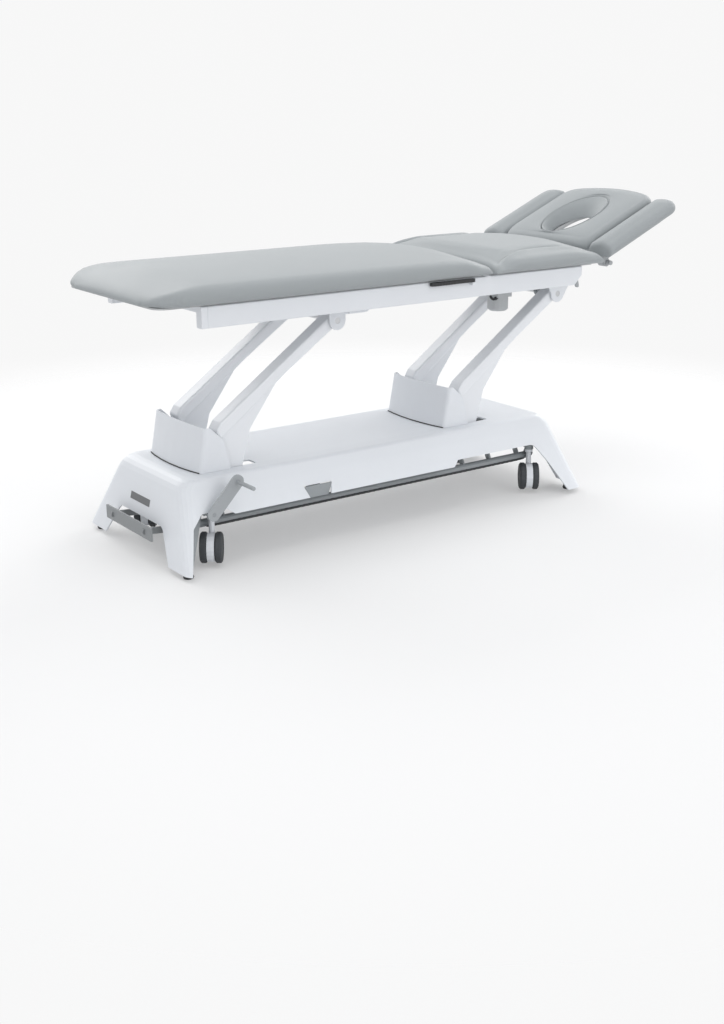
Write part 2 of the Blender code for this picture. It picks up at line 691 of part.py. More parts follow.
def base_shell():
    outside = [base_loop(z, 0) for z in reversed(base_levels(0))]
    inside = [base_loop(z, BASE_WALL) for z in base_levels(BASE_WALL)]
    under = BASE_SKIRT_Z - CUT_OVERRUN
    f, h, r = SIDE_ARCH_FOOT_END_X, SIDE_ARCH_HEAD_END_X, ARCH_CORNER_RADIUS
    side_arch = [
        (f[0], under, 0), (h[4], under, 0), (h[3], SIDE_ARCH_HEAD_END_KNEE_Z, r),
        (h[2], SIDE_ARCH_HEAD_END_TOP_Z, r), (h[1], SIDE_ARCH_HEAD_END_TOP_Z, r * 0.2),
        (h[0], SIDE_ARCH_TOP_Z, r * 0.2), (f[4], SIDE_ARCH_TOP_Z, r * 0.2),
        (f[3], SIDE_ARCH_FOOT_END_TOP_Z, r * 0.2), (f[2], SIDE_ARCH_FOOT_END_TOP_Z, r * 0.5),
        (f[1], SIDE_ARCH_FOOT_END_KNEE_Z, r * 0.5),
    ]
    end_arch = [
        (-END_ARCH_FOOT_HALF_WIDTH, under, 0), (END_ARCH_FOOT_HALF_WIDTH, under, 0),
        (END_ARCH_TOP_HALF_WIDTH, END_ARCH_TOP_Z, ARCH_CORNER_RADIUS),
        (-END_ARCH_TOP_HALF_WIDTH, END_ARCH_TOP_Z, ARCH_CORNER_RADIUS),
    ]
    across = BASE_FOOT_HALF_WIDTH + CUT_OVERRUN
    along = BASE_FOOT_HALF_LENGTH + CUT_OVERRUN
    cuts = [
        prism(rounded(side_arch, 4), "y", -across, across),
        prism(bracket_outline(BRACKET_NOTCH_MARGIN), "y", -across, PANEL_BRACKET_Y[1] + BRACKET_NOTCH_MARGIN * 4),
        prism(rounded(end_arch, 6), "x", -along, along),
        prism(plate_outline(BASE_WALL / 2, -CUT_OVERRUN, -GAP), "y", PLATE_Y[0] - GAP, PLATE_Y[1] + GAP),
    ]
    slot_y = (ARM_INNER_Y + ARM_GUSSET_INSET - SLOT_CLEARANCE, ARM_OUTER_Y - ARM_GUSSET_INSET + SLOT_CLEARANCE)
    deck_z = (BASE_HEIGHT - BASE_WALL - CUT_OVERRUN, BASE_HEIGHT + CUT_OVERRUN)
    for pivot_x in (LEFT_LOWER_PIVOT_X, RIGHT_LOWER_PIVOT_X):
        for side in (-1, 1):
            low, high = sorted(flip(slot_y, side))
            x0, x1 = pivot_x + SLOT_X[0], pivot_x + SLOT_X[1]
            r = SLOT_CORNER_RADIUS
            slot = rounded([(x0, low, r), (x1, low, r), (x1, high, r), (x0, high, r)], 3)
            cuts.append(prism(slot, "z", *deck_z))
    hole_y = (-BASE_FOOT_HALF_WIDTH, LEVER_LUG_Y[0])
    cuts.append(drilled("y", hole_y, LEVER_PIVOT_X, LEVER_PIVOT_Z, LEVER_PIN_RADIUS + JOIN_OVERLAP))
    solid("base_shell", "root", WHITE_MOULDING, loft(outside + inside), cuts=cuts, crease=30)


def bracket_outline(margin):
    (x0, x1), (z0, z1) = PANEL_BRACKET_X, PANEL_BRACKET_Z
    foot = PANEL_BRACKET_SLOPE - margin
    return [(x0 + foot, z0 - margin), (x1 - foot, z0 - margin), (x1 + margin, z1 + margin), (x0 - margin, z1 + margin)]


def plate_outline(depth, rise, margin):
    """The label plate from the side, set to a depth in the leaning end wall."""
    lean = (BASE_FOOT_HALF_LENGTH - BASE_TOP_HALF_LENGTH) / (BASE_HEIGHT - BASE_SKIRT_Z)
    slant = hypot(1, lean)
    outline = []
    for z, deep in ((0, rise), (1, rise), (1, depth), (0, depth)):
        height = PLATE_Z[z] + (margin if z == 0 else -margin)
        wall_x = BASE_FOOT_HALF_LENGTH - lean * (height - BASE_SKIRT_Z)
        outline.append((-wall_x + deep * slant, height))
    return outline


def blank_plate():
    outline = plate_outline(BASE_WALL / 2 - GAP, BASE_WALL / 2 - GAP - PLATE_THICKNESS, 0)
    solid("blank_end_plate", "root", GREY_PAINT, prism(outline, "y", *PLATE_Y))


def leg_post(end, side):
    loops = []
    lowest = (FOOT_X, FOOT_Y, BASE_SKIRT_Z)
    for x, y, z in (lowest, POST_HEAD):
        half = POST_HALF_SIZE
        corners = ((-half, -half), (half, -half), (half, half), (-half, half))
        loops.append([(end * x + dx, side * y + dy, z) for dx, dy in corners])
    return loft(loops)


def chassis():
    beams = [
        slab((-CHASSIS_BEAM_HALF_LENGTH, CHASSIS_BEAM_HALF_LENGTH), flip(CHASSIS_BEAM_Y, side), CHASSIS_BEAM_Z)
        for side in (-1, 1)
    ]
    joins = beams[1:]
    cuts = []
    for end in (-1, 1):
        width = (-CROSS_BEAM_HALF_WIDTH, CROSS_BEAM_HALF_WIDTH)
        joins.append(slab(flip(CROSS_BEAM_X, end), width, CROSS_BEAM_Z))
        for side in (-1, 1):
            joins.append(leg_post(end, side))
            foot_z = (BASE_SKIRT_Z - CUT_OVERRUN, FOOT_STEM_TOP_Z - CUT_OVERRUN + GAP)
            cuts.append(drilled("z", foot_z, end * FOOT_X, side * FOOT_Y, FOOT_STEM_RADIUS + GAP, 12))
            cuts.append(drilled("z", CROSS_BEAM_Z, end * CASTOR_X, side * GUIDE_Y, GUIDE_RADIUS + RUNNING_GAP))
    for pivot_x in (LEFT_LOWER_PIVOT_X, RIGHT_LOWER_PIVOT_X):
        reach = (-CHASSIS_BEAM_Y[1], CHASSIS_BEAM_Y[1])
        cuts.append(drilled("y", reach, pivot_x, LOWER_PIVOT_Z, PIVOT_SHAFT_RADIUS + RUNNING_GAP, 16))
    for x in HANGER_X:
        for side in (-1, 1):
            lug_x = (x - HANGER_THICKNESS / 2 - RUNNING_GAP - HANGER_THICKNESS, x - HANGER_THICKNESS / 2 - RUNNING_GAP)
            pivot = (side * HANGER_PIVOT_Y, HANGER_PIVOT_Z)
            root = (side * LUG_ROOT[0], LUG_ROOT[1])
            joins.append(prism(strap(pivot, root, HANGER_RADIUS), "x", *lug_x))
            joins.append(pin("x", (lug_x[0] + JOIN_OVERLAP, x + HANGER_THICKNESS / 2), *pivot, HANGER_PIN_RADIUS))
    for side in (-1, 1):
        pivot = (PEDAL_PIVOT_X, PEDAL_PIVOT_Z)
        outline = strap(pivot, PEDAL_LUG_ROOT, PEDAL_ARM_RADIUS)
        joins.append(prism(outline, "y", *flip(PEDAL_LUG_Y, side)))
        pin_y = (PEDAL_LUG_Y[0] + JOIN_OVERLAP, PEDAL_ARM_Y[1])
        joins.append(pin("y", flip(pin_y, side), *pivot, HANGER_PIN_RADIUS))
    joins.append(slab(LEVER_LUG_X, LEVER_LUG_Y, LEVER_LUG_Z))
    lever_pin = (-LEVER_Y[1], LEVER_LUG_Y[0] + JOIN_OVERLAP)
    joins.append(pin("y", lever_pin, LEVER_PIVOT_X, LEVER_PIVOT_Z, LEVER_PIN_RADIUS))
    (y0, y1), (low, middle, high) = BRACKET_RIB_Y, BRACKET_RIB_Z
    rib = [(y0, low), (y1, low), (y1, high), (BRACKET_RIB_SHOULDER_Y, high), (y0, middle)]
    joins.append(prism(rib, "x", *BRACKET_RIB_X))
    joins.append(prism(bracket_outline(0), "y", *PANEL_BRACKET_Y))
    solid("chassis", "root", GREY_PAINT, beams[0], joins=joins, cuts=cuts)


def foot_pad(name, end, side):
    r, top = FOOT_RADIUS, BASE_SKIRT_Z - GAP
    profile = [
        (0, 0), (r * 0.9, 0), (r, top * 0.3), (r * 0.75, top),
        (FOOT_STEM_RADIUS, top), (FOOT_STEM_RADIUS, FOOT_STEM_TOP_Z), (0, FOOT_STEM_TOP_Z),
    ]
    solid(name, "root", DARK_PLASTIC, turned(profile, (end * FOOT_X, side * FOOT_Y, 0), (0, 0, 1)))


def cover_path(share, inset):
    """Half of a cover's plan at a level: front edge, side wall, bowed back wall, side wall."""
    width = COVER_FOOT_HALF_WIDTH + (COVER_TOP_HALF_WIDTH - COVER_FOOT_HALF_WIDTH) * share - inset
    back = -COVER_BACK_OFFSET + COVER_BACK_LEAN * share + inset
    bow = COVER_FOOT_BOW + (COVER_TOP_BOW - COVER_FOOT_BOW) * share
    front_share = COVER_FRONT_HEIGHT / COVER_HEIGHT
    if share <= front_share:
        front = -COVER_FRONT_OFFSET - COVER_FRONT_LEAN * share / front_share
    else:
        start = -COVER_FRONT_OFFSET - COVER_FRONT_LEAN
        finish = -COVER_BACK_OFFSET + COVER_BACK_LEAN + COVER_TOP_LENGTH
        front = start + (finish - start) * (share - front_share) / (1 - front_share)
    corner = COVER_CORNER_RADIUS - inset
    corners = [(front, -width, 0), (back, -width, corner)]
    corners += [(back - bow * (1 - y * y), y * width, 0) for y in COVER_BOW_SHARES]
    corners += [(back, width, corner), (front, width, 0)]
    return rounded(corners, 4)


def column_cover(name, pivot_x):
    loops = []
    shares = sorted((*COVER_LEVEL_SHARES, COVER_FRONT_HEIGHT / COVER_HEIGHT))
    for share in shares:
        outline = cover_path(share, 0) + cover_path(share, COVER_WALL)[::-1]
        z = BASE_HEIGHT + GAP + COVER_HEIGHT * share
        loops.append([(pivot_x + x, y, z) for x, y in outline])
    solid(name, "root", WHITE_MOULDING, loft(loops), crease=30)


# Top frame


def rail_outline(inset, lift):
    y = (RAIL_INNER_Y + inset, RAIL_OUTER_Y - inset)
    z = (RAIL_TOP_Z - RAIL_HEIGHT + inset + lift, RAIL_TOP_Z - inset)
    r = RAIL_EDGE - inset
    return rounded([(y[0], z[0], r), (y[1], z[0], r), (y[1], z[1], r), (y[0], z[1], r)], 3)


def rail(name, side):
    cap = RAIL_FOOT_X + RAIL_CAP_LENGTH
    g = RAIL_GROOVE
    stations = [
        (RAIL_FOOT_X, g, 0), (RAIL_FOOT_X + g, 0, 0), (cap - g, 0, 0), (cap - g / 2, g, 0), (cap + g / 2, g, 0),
        (cap + g, 0, 0), (RAIL_HEAD_X - RAIL_CHAMFER, 0, 0), (RAIL_HEAD_X - g, 0, RAIL_CHAMFER),
        (RAIL_HEAD_X, g, RAIL_CHAMFER),
    ]
    loops = [[(x, side * y, z) for y, z in rail_outline(inset, lift)] for x, inset, lift in stations]
    joins = []
    if side < 0:
        joins.append(slab(HANDLE_LUG_X, HANDLE_LUG_Y, HANDLE_LUG_Z))
        pin_z = (HANDLE_LUG_Z[0] + JOIN_OVERLAP, HANDLE_PIN_TOP_Z)
        joins.append(pin("z", pin_z, HANDLE_HINGE_X, -HANDLE_Y, HANDLE_PIN_RADIUS))
    solid(name, "top", WHITE_PAINT, loft(loops), joins=joins)


def member_bar(x, z):
    r = MEMBER_EDGE
    outline = rounded([(x[0], z[0], r), (x[1], z[0], r), (x[1], z[1], r), (x[0], z[1], r)], 2)
    return prism(outline, "y", -MEMBER_HALF_WIDTH, MEMBER_HALF_WIDTH)


def left_beam():
    x0, x1 = LEFT_BEAM_X
    high = LEFT_BEAM_Z[0] + CUT_OVERRUN
    pivot = (LEFT_UPPER_PIVOT_X, UPPER_PIVOT_Z)
    outline = arc(pivot, BRACKET_LOBE_RADIUS, pi, 2 * pi, 8) + [(x1, high), (x0, high)]
    joins = []
    cuts = []
    for side in (-1, 1):
        joins.append(prism(outline, "y", *flip(BRACKET_Y, side)))
        cuts.append(drilled("y", flip(BRACKET_Y, side), *pivot, PIVOT_SHAFT_RADIUS + GAP, 16))
    solid("cross_beam_left", "top", WHITE_PAINT, member_bar(LEFT_BEAM_X, LEFT_BEAM_Z), joins, cuts)


def right_beam():
    top = RIGHT_BEAM_Z[1] - BRACKET_TOP_INSET
    pivot = (RIGHT_UPPER_PIVOT_X, UPPER_PIVOT_Z)
    hinge = (HEAD_HINGE_X, HINGE_Z)
    outline = arc(pivot, BRACKET_LOBE_RADIUS, pi, radians(335), 8)
    outline += arc((LATCH_X, LATCH_Z), EAR_RADIUS, radians(-60), radians(-25), 3)
    outline += arc(hinge, EAR_RADIUS, radians(-25), radians(90), 6)
    outline += [(RIGHT_BEAM_X[0] + BRACKET_TOP_INSET, top), (RIGHT_BEAM_X[0] + BRACKET_TOP_INSET, RIGHT_BEAM_Z[0])]
    joins = [slab(GAS_LUG_X, GAS_LUG_Y, GAS_LUG_Z)]
    cuts = []
    for side in (-1, 1):
        joins.append(prism(outline, "y", *flip(BRACKET_Y, side)))
        span = flip(BRACKET_Y, side)
        cuts.append(drilled("y", span, *pivot, PIVOT_SHAFT_RADIUS + RUNNING_GAP, 16))
        cuts.append(drilled("y", span, *hinge, HINGE_TUBE_RADIUS + RUNNING_GAP, 16))
    cuts.append(drilled("y", flip(BRACKET_Y, -1), LATCH_X, LATCH_Z, LATCH_SHAFT_RADIUS + RUNNING_GAP))
    solid("cross_beam_right", "top", WHITE_PAINT, member_bar(RIGHT_BEAM_X, RIGHT_BEAM_Z), joins, cuts)


def seam_member():
    hinge = (SEAM_X, HINGE_Z)
    z0, z1 = SEAM_MEMBER_Z
    inside = SEAM_MEMBER_X[0] + (SEAM_MEMBER_X[1] - SEAM_MEMBER_X[0]) / 2
    outline = arc(hinge, EAR_RADIUS, radians(90), radians(250), 8)
    outline += [(SEAM_MEMBER_X[0], z0 + MEMBER_EDGE), (inside, z0 + MEMBER_EDGE), (inside, z1 + MEMBER_EDGE)]
    joins = [prism(outline, "y", *flip(SEAM_EAR_Y, side)) for side in (-1, 1)]
    cuts = [
        drilled("y", flip(SEAM_EAR_Y, side), *hinge, HINGE_TUBE_RADIUS + RUNNING_GAP, 16) for side in (-1, 1)
    ]
    solid("cross_member_seam", "top", WHITE_PAINT, member_bar(SEAM_MEMBER_X, SEAM_MEMBER_Z), joins, cuts)


def lift_drive():
    box_y = (GEARBOX_Y[0], GEARBOX_Y[1])
    r = GEARBOX_EDGE
    (x0, x1), (y0, y1) = GEARBOX_X, box_y
    outline = rounded([(x0, y0, r), (x1, y0, r), (x1, y1, r), (x0, y1, r)], 3)
    height = MOTOR_Z[1] - MOTOR_Z[0]
    profile = [
        (0, 0), (MOTOR_RADIUS * 0.8, 0), (MOTOR_RADIUS, height * 0.12),
        (MOTOR_RADIUS, height), (0, height),
    ]
    motor = turned(profile, (MOTOR_X, MOTOR_Y, MOTOR_Z[0]), (0, 0, 1), 20)
    solid("lift_motor", "top", GREY_PAINT, prism(outline, "z", *GEARBOX_Z), joins=[motor])
    tube_x = (GEARBOX_X[1] + GAP, LIFT_TUBE_HEAD_X)
    bore_x = (LIFT_TUBE_BORE_X + CUT_OVERRUN, LIFT_TUBE_HEAD_X)
    solid(
        "lift_tube",
        "top",
        GREY_PAINT,
        pin("x", tube_x, CRANK_Y, LIFT_LINE_Z, LIFT_TUBE_RADIUS, 20),
        cuts=[drilled("x", bore_x, CRANK_Y, LIFT_LINE_Z, LIFT_ROD_RADIUS + RUNNING_GAP, 18)],
    )
    block_z = (LIFT_LINE_Z - LIFT_ROD_RADIUS, LIFT_LINE_Z + LIFT_ROD_RADIUS)
    cheek_y = FORK_CHEEK_Y
    joins = [slab(FORK_BLOCK_X, (CRANK_Y - cheek_y[1], CRANK_Y + cheek_y[1]), block_z)]
    cheeks = []
    slot_x = RIGHT_UPPER_PIVOT_X + CRANK_TIP[0]
    (x0, x1), (z0, z1) = FORK_CHEEK_X, FORK_CHEEK_Z
    r = GEARBOX_EDGE
    cheek = rounded([(x0, z0, 0), (x1, z0, r), (x1, z1, r), (x0, z1, 0)], 3)
    w = FORK_SLOT_HALF_WIDTH
    slot = rounded(
        [
            (slot_x - w, FORK_SLOT_Z[0], w / 2), (slot_x + w, FORK_SLOT_Z[0], w / 2),
            (slot_x + w, FORK_SLOT_Z[1], w / 2), (slot_x - w, FORK_SLOT_Z[1], w / 2),
        ],
        3,
    )
    for side in (-1, 1):
        span = [CRANK_Y + side * value for value in cheek_y]
        cheeks.append(prism(cheek, "y", *span))
    across = (CRANK_Y - cheek_y[1] - CUT_OVERRUN, CRANK_Y + cheek_y[1] + CUT_OVERRUN)
    solid(
        "lift_rod",
        "lift_rod",
        BRIGHT_STEEL,
        pin("x", LIFT_ROD_X, CRANK_Y, LIFT_LINE_Z, LIFT_ROD_RADIUS, 18),
        joins=joins + cheeks,
        cuts=[prism(slot, "y", *across)],
    )


def control_box():
    t = CONTROL_BOX_TAPER
    r = CONTROL_BOX_EDGE
    loops = []
    for z, inset in ((CONTROL_BOX_Z[0], t), (CONTROL_BOX_Z[0] + t, t / 4), (CONTROL_BOX_Z[1], 0)):
        (x0, x1), (y0, y1) = CONTROL_BOX_X, CONTROL_BOX_Y
        corners = [(x0, y0 + inset, r), (x1 - inset, y0 + inset, r), (x1 - inset, y1 - inset, r), (x0, y1 - inset, r)]
        loops.append([(x, y, z) for x, y in rounded(corners, 3)])
    solid("control_box", "top", WHITE_MOULDING, loft(loops))


def gas_spring():
    bore_x = (GAS_CYLINDER_X[0], GAS_BORE_X - CUT_OVERRUN)
    solid(
        "gas_cylinder",
        "top",
        DARK_PLASTIC,
        pin("x", GAS_CYLINDER_X, GAS_Y, GAS_Z, GAS_CYLINDER_RADIUS, 18),
        cuts=[drilled("x", bore_x, GAS_Y, GAS_Z, GAS_ROD_RADIUS + RUNNING_GAP)],
    )
    h = GAS_CLEVIS_HALF_HEIGHT
    height = (GAS_Z - h, GAS_Z + h)
    joins = [slab(GAS_BLOCK_X, (GAS_Y - GAS_CHEEK_Y[1], GAS_Y + GAS_CHEEK_Y[1]), height)]
    (x0, x1), (z0, z1) = GAS_CLEVIS_X, height
    cheek = rounded([(x0, z0, h / 2), (x1, z0, 0), (x1, z1, 0), (x0, z1, h / 2)], 3)
    for side in (-1, 1):
        joins.append(prism(cheek, "y", *[GAS_Y + side * value for value in GAS_CHEEK_Y]))
    across = (GAS_Y - GAS_CHEEK_Y[1], GAS_Y + GAS_CHEEK_Y[1])
    solid(
        "gas_rod",
        "gas_rod",
        BRIGHT_STEEL,
        pin("x", GAS_ROD_X, GAS_Y, GAS_Z, GAS_ROD_RADIUS),
        joins=joins,
        cuts=[drilled("y", across, GAS_PIN_X, GAS_Z, GAS_HOLE_RADIUS)],
    )


# Upholstery


def pad_section(centre_y, half_width, low, edge_top, crown, radius, inset, crease=0.0):
    """A cushion cut across: flat below, drawn-in lower sides, rounded shoulders, crowned top."""
    half = []
    tall = edge_top - low
    half += [(half_width * 0.5, low), (half_width - inset, low), (half_width - inset * 0.4, low + tall * 0.10)]
    half += [(half_width - inset * 0.08, low + tall * 0.28)]
    for angle in (0, 22, 45, 67, 90):
        reach = half_width - radius + radius * cos(radians(angle))
        half.append((reach, edge_top - radius + radius * sin(radians(angle))))
    flat = half_width - radius
    for share in (0.84, 0.705, 0.675, 0.645, 0.5, 0.25):
        y = flat * share
        z = edge_top + crown * (1 - share * share)
        if share in (0.705, 0.645):
            z += crease * 0.15
        if share == 0.675:
            z -= crease
        half.append((y, z))
    ring = [(0, low)] + half + [(0, edge_top + crown)] + [(-y, z) for y, z in reversed(half)]
    return [(centre_y + y, z) for y, z in ring]


def eased(value, start, end):
    share = min(1, max(0, (value - start) / (end - start)))
    return share * share * (3 - 2 * share)


def corner_half(half_width, radius, distance):
    """Half the width of a pad at a distance from its end, with corners rounded in plan."""
    if distance >= radius:
        return half_width
    return half_width - radius + sqrt(max(0, radius ** 2 - (radius - distance) ** 2))


END_ANGLES = (0, 25, 50, 70, 90)


def end_distances(nose, corner):
    """Distances from a pad's end where its nose and its plan corners need a section."""
    values = {nose * (1 - cos(radians(angle))) for angle in END_ANGLES}
    values |= {corner * (1 - cos(radians(angle))) for angle in (30, 50, 70, 90)}
    kept = []
    for value in sorted(values):
        if not kept or value - kept[-1] > nose * 0.06:
            kept.append(value)
    return kept


def nose_drop(distance, nose):
    if distance >= nose:
        return 0
    return nose - sqrt(max(0, nose ** 2 - (nose - distance) ** 2))


def pinched(y, z, depth):
    """A height on a cushion, pulled down towards the side edges where a corner is drawn in."""
    low = CUSHION_UNDERSIDE_Z
    return z - depth * (abs(y) / CUSHION_HALF_WIDTH) ** 4 * (z - low) / CUSHION_THICKNESS


def leg_cushion():
    low = CUSHION_UNDERSIDE_Z
    top = low + CUSHION_THICKNESS
    nose = CUSHION_EDGE_RADIUS
    seam_nose = nose / 2
    distances = end_distances(LEG_NOSE_LENGTH, LEG_CORNER_RADIUS)
    span = SEAM_X - LEG_CUSHION_FOOT_X
    stations = [(LEG_CUSHION_FOOT_X + d, d, span - d) for d in distances]
    stations += [(LEG_CUSHION_FOOT_X + span * s, span * s, span * (1 - s)) for s in (0.2, 0.35, 0.5, 0.65, 0.8, 0.92)]
    seam_distances = [seam_nose * (1 - cos(radians(angle))) for angle in (90, 60, 35, 0)]
    stations += [(SEAM_X - d, span - d, d) for d in seam_distances]
    loops = []
    for x, from_foot, from_seam in stations:
        half = corner_half(CUSHION_HALF_WIDTH, LEG_CORNER_RADIUS, from_foot)
        drop = nose_drop(from_foot, LEG_NOSE_LENGTH) * LEG_NOSE_DROP / LEG_NOSE_LENGTH
        drop += nose_drop(from_seam, seam_nose) + SEAM_DIP * (1 - eased(from_seam, 0, SEAM_DIP_LENGTH))
        crown = CUSHION_CROWN * eased(from_foot, 0, nose * 6) * eased(from_seam, -nose, nose * 2)
        edge = min(nose, (top - drop - low) * 0.8)
        section = pad_section(0, half, low, top - drop, crown, edge, CUSHION_LOWER_INSET)
        ease = 1 - eased(from_seam, 0, SEAM_FADE)
        loop = []
        for y, z in section:
            lean = ((z - HINGE_Z) * tan(LEG_TILT / 2) + SEAM_CLEARANCE) * ease
            bow = LEG_FOOT_BOW * (y / CUSHION_HALF_WIDTH) ** 2 * (1 - eased(from_foot, 0, LEG_NOSE_LENGTH * 2))
            pinch = CORNER_PINCH * (1 - eased(from_seam, 0, SEAM_DIP_LENGTH))
            loop.append((x - lean + bow, y, pinched(y, z, pinch)))
        loops.append(loop)
    solid("leg_cushion", "leg_section", GREY_LEATHERETTE, loft(loops), crease=40)


def middle_cushion():
    low = CUSHION_UNDERSIDE_Z
    top = low + CUSHION_THICKNESS
    nose = CUSHION_EDGE_RADIUS / 2
    head_nose = CUSHION_EDGE_RADIUS * 0.7
    span = MIDDLE_CUSHION_HEAD_X - SEAM_X
    stations = [(nose * (1 - cos(radians(angle)))) for angle in (0, 35, 60, 90)]
    stations += [span * share for share in (0.07, 0.14, 0.22, 0.35, 0.5, 0.65, 0.8)]
    head_distances = end_distances(head_nose, MIDDLE_CORNER_RADIUS)
    stations += [span - d for d in reversed(head_distances)]
    loops = []
    for from_seam in stations:
        x = SEAM_X + from_seam
        from_head = span - from_seam
        half = corner_half(CUSHION_HALF_WIDTH, MIDDLE_CORNER_RADIUS, from_head)
        drop = nose_drop(from_seam, nose) + nose_drop(from_head, head_nose)
        drop += SEAM_DIP * (1 - eased(from_seam, 0, SEAM_DIP_LENGTH))
        crown = CUSHION_CROWN * eased(from_head, -nose, nose * 4) * eased(from_seam, -nose, nose * 2)
        crease = CUSHION_CREASE_DEPTH * eased(x, CUSHION_CREASE_START_X, MIDDLE_CUSHION_HEAD_X)
        radius = min(CUSHION_EDGE_RADIUS, (top - drop - low) * 0.8)
        section = pad_section(0, half, low, top - drop, crown, radius, CUSHION_LOWER_INSET, crease)
        ease = 1 - eased(from_seam, 0, SEAM_FADE)
        back = 1 - eased(from_head, 0, SEAM_FADE * 1.5)
        loop = []
        for y, z in section:
            lean = ((z - HINGE_Z) * tan(LEG_TILT / 2) + SEAM_CLEARANCE) * ease
            lean -= MIDDLE_HEAD_LEAN * (z - low) / CUSHION_THICKNESS * back
            pinch = CORNER_PINCH * (1 - eased(min(from_seam, from_head), 0, SEAM_DIP_LENGTH))
            loop.append((x + lean, y, pinched(y, z, pinch)))
        loops.append(loop)
    solid("middle_cushion", "top", GREY_LEATHERETTE, loft(loops), crease=40)


def board(name, frame, x):
    (x0, x1), y, r = x, BOARD_HALF_WIDTH, BOARD_CORNER_RADIUS
    corners = [(x0, -y, r), (x1, -y, r / 4), (x1, y, r / 4), (x0, y, r)]
    if name == "middle_board":
        corners = [(a, b, r / 4) for a, b, _ in corners]
    solid(name, frame, BOARD_GREY, prism(rounded(corners, 4), "z", *BOARD_Z))


def leg_frame():
    hinge = (SEAM_X, HINGE_Z)
    tip = (SEAM_X + LEG_CRANK_TIP[0], HINGE_Z + LEG_CRANK_TIP[1])
    half = LEG_CRANK_HALF_THICKNESS
    joins = [slab(LEG_BAR_X, flip(LEG_BAR_Y, side), LEG_BAR_Z) for side in (-1, 1)]
    joins.append(slab(LEG_CROSS_X, (-LEG_BAR_Y[1] + GAP, LEG_BAR_Y[1] - GAP), (LEG_BAR_Z[0], LEG_BAR_Z[1] - GAP)))
    joins.append(prism(strap(hinge, tip, HINGE_TUBE_RADIUS + GAP, 8, LEG_CRANK_RADIUS), "y", GAS_Y - half, GAS_Y + half))
    pin_y = (GAS_Y - GAS_CHEEK_Y[1], GAS_Y + GAS_CHEEK_Y[1])
    joins.append(pin("y", pin_y, *tip, LEG_CRANK_PIN_RADIUS))
    tube = pin("y", (-LEG_TUBE_HALF_LENGTH, LEG_TUBE_HALF_LENGTH), *hinge, HINGE_TUBE_RADIUS, 18)
    solid("leg_frame", "leg_section", WHITE_PAINT, tube, joins=joins)


# Head section


def head_outline(angle, inset, lean):
    """Where a ray from the face hole's centre meets the head pad's edge."""
    start = HEAD_PAD_START + inset + lean
    tip = HEAD_PAD_TIP - inset
    half = HEAD_PAD_HALF_WIDTH - inset
    r = max(HEAD_PAD_CORNER_RADIUS - inset, HEAD_PAD_CORNER_RADIUS * 0.3)
    ray = Vector((cos(angle), sin(angle)))
    outline = [(start, -half, r), (tip - HEAD_PAD_BOW, -half, r)]
    outline += [(tip - HEAD_PAD_BOW * (share * 2) ** 2, share * half * 2, 0) for share in (-0.38, -0.19, 0, 0.19, 0.38)]
    outline += [(tip - HEAD_PAD_BOW, half, r), (start, half, r)]
    points = [Vector((s - FACE_ALONG, y)) for s, y in rounded(outline, 5)]
    for first, second in zip(points, points[1:] + points[:1]):
        edge = second - first
        across = ray.x * edge.y - ray.y * edge.x
        if abs(across) < 1e-12:
            continue
        reach = (first.x * edge.y - first.y * edge.x) / across
        share = (first.x * ray.y - first.y * ray.x) / across
        if reach > 0 and -1e-9 <= share <= 1 + 1e-9:
            return ray * reach
    return ray * half


def head_angles():
    """Rays spaced so that the pad's corners and straight runs both keep their shape."""
    count = 48
    even = [2 * pi * step / count for step in range(count)]
    return [angle + 0.10 * sin(4 * angle) * -1 for angle in even]


def head_cushion():
    low = HEAD_PAD_UNDERSIDE
    top = low + HEAD_PAD_THICKNESS
    r = HEAD_PAD_EDGE_RADIUS
    tall = HEAD_PAD_THICKNESS
    rows = []
    for angle in head_angles():
        ray = Vector((cos(angle), sin(angle)))

        def oval(half_length, half_width):
            return ray / hypot(ray.x / half_length, ray.y / half_width)

        def outer(inset, height):
            return head_outline(angle, inset, HEAD_PAD_START_LEAN * (height - low) / tall)

        rim = oval(FACE_RIM_HALF_LENGTH, FACE_RIM_HALF_WIDTH)
        hole = oval(FACE_HOLE_HALF_LENGTH, FACE_HOLE_HALF_WIDTH)
        row = [(outer(HEAD_PAD_LOWER_INSET, low), low), (outer(HEAD_PAD_LOWER_INSET * 0.3, low), low + tall * 0.12)]
        for share in (0, 22, 45, 67, 90):
            height = top - r + r * sin(radians(share))
            row.append((outer(r * (1 - cos(radians(share))), height), height))
        edge = row[-1][0]
        row.append((edge.lerp(rim, 0.55), top + r * 0.12))
        row.append((edge.lerp(rim, 0.92), top + r * 0.10))
        row.append((rim, top - r * 0.10))
        row.append((rim.lerp(hole, 0.10), top + r * 0.08))
        row.append((rim.lerp(hole, 0.35), top + r * 0.10))
        row.append((rim.lerp(hole, 0.60), top - r * 0.14))
        row.append((rim.lerp(hole, 0.82), top - r * 0.60))
        row.append((rim.lerp(hole, 0.95), top - r * 1.10))
        row.append((hole, top - r * 1.60))
        row.append((hole, low + tall * 0.08))
        row.append((hole.lerp(rim, 0.06), low))
        row.append((hole.lerp(row[0][0], 0.5), low))
        rows.append([(FACE_ALONG + spot.x, spot.y, height) for spot, height in row])
    solid("head_cushion", "head_section", GREY_LEATHERETTE, loft(rows, closed=True), crease=45)


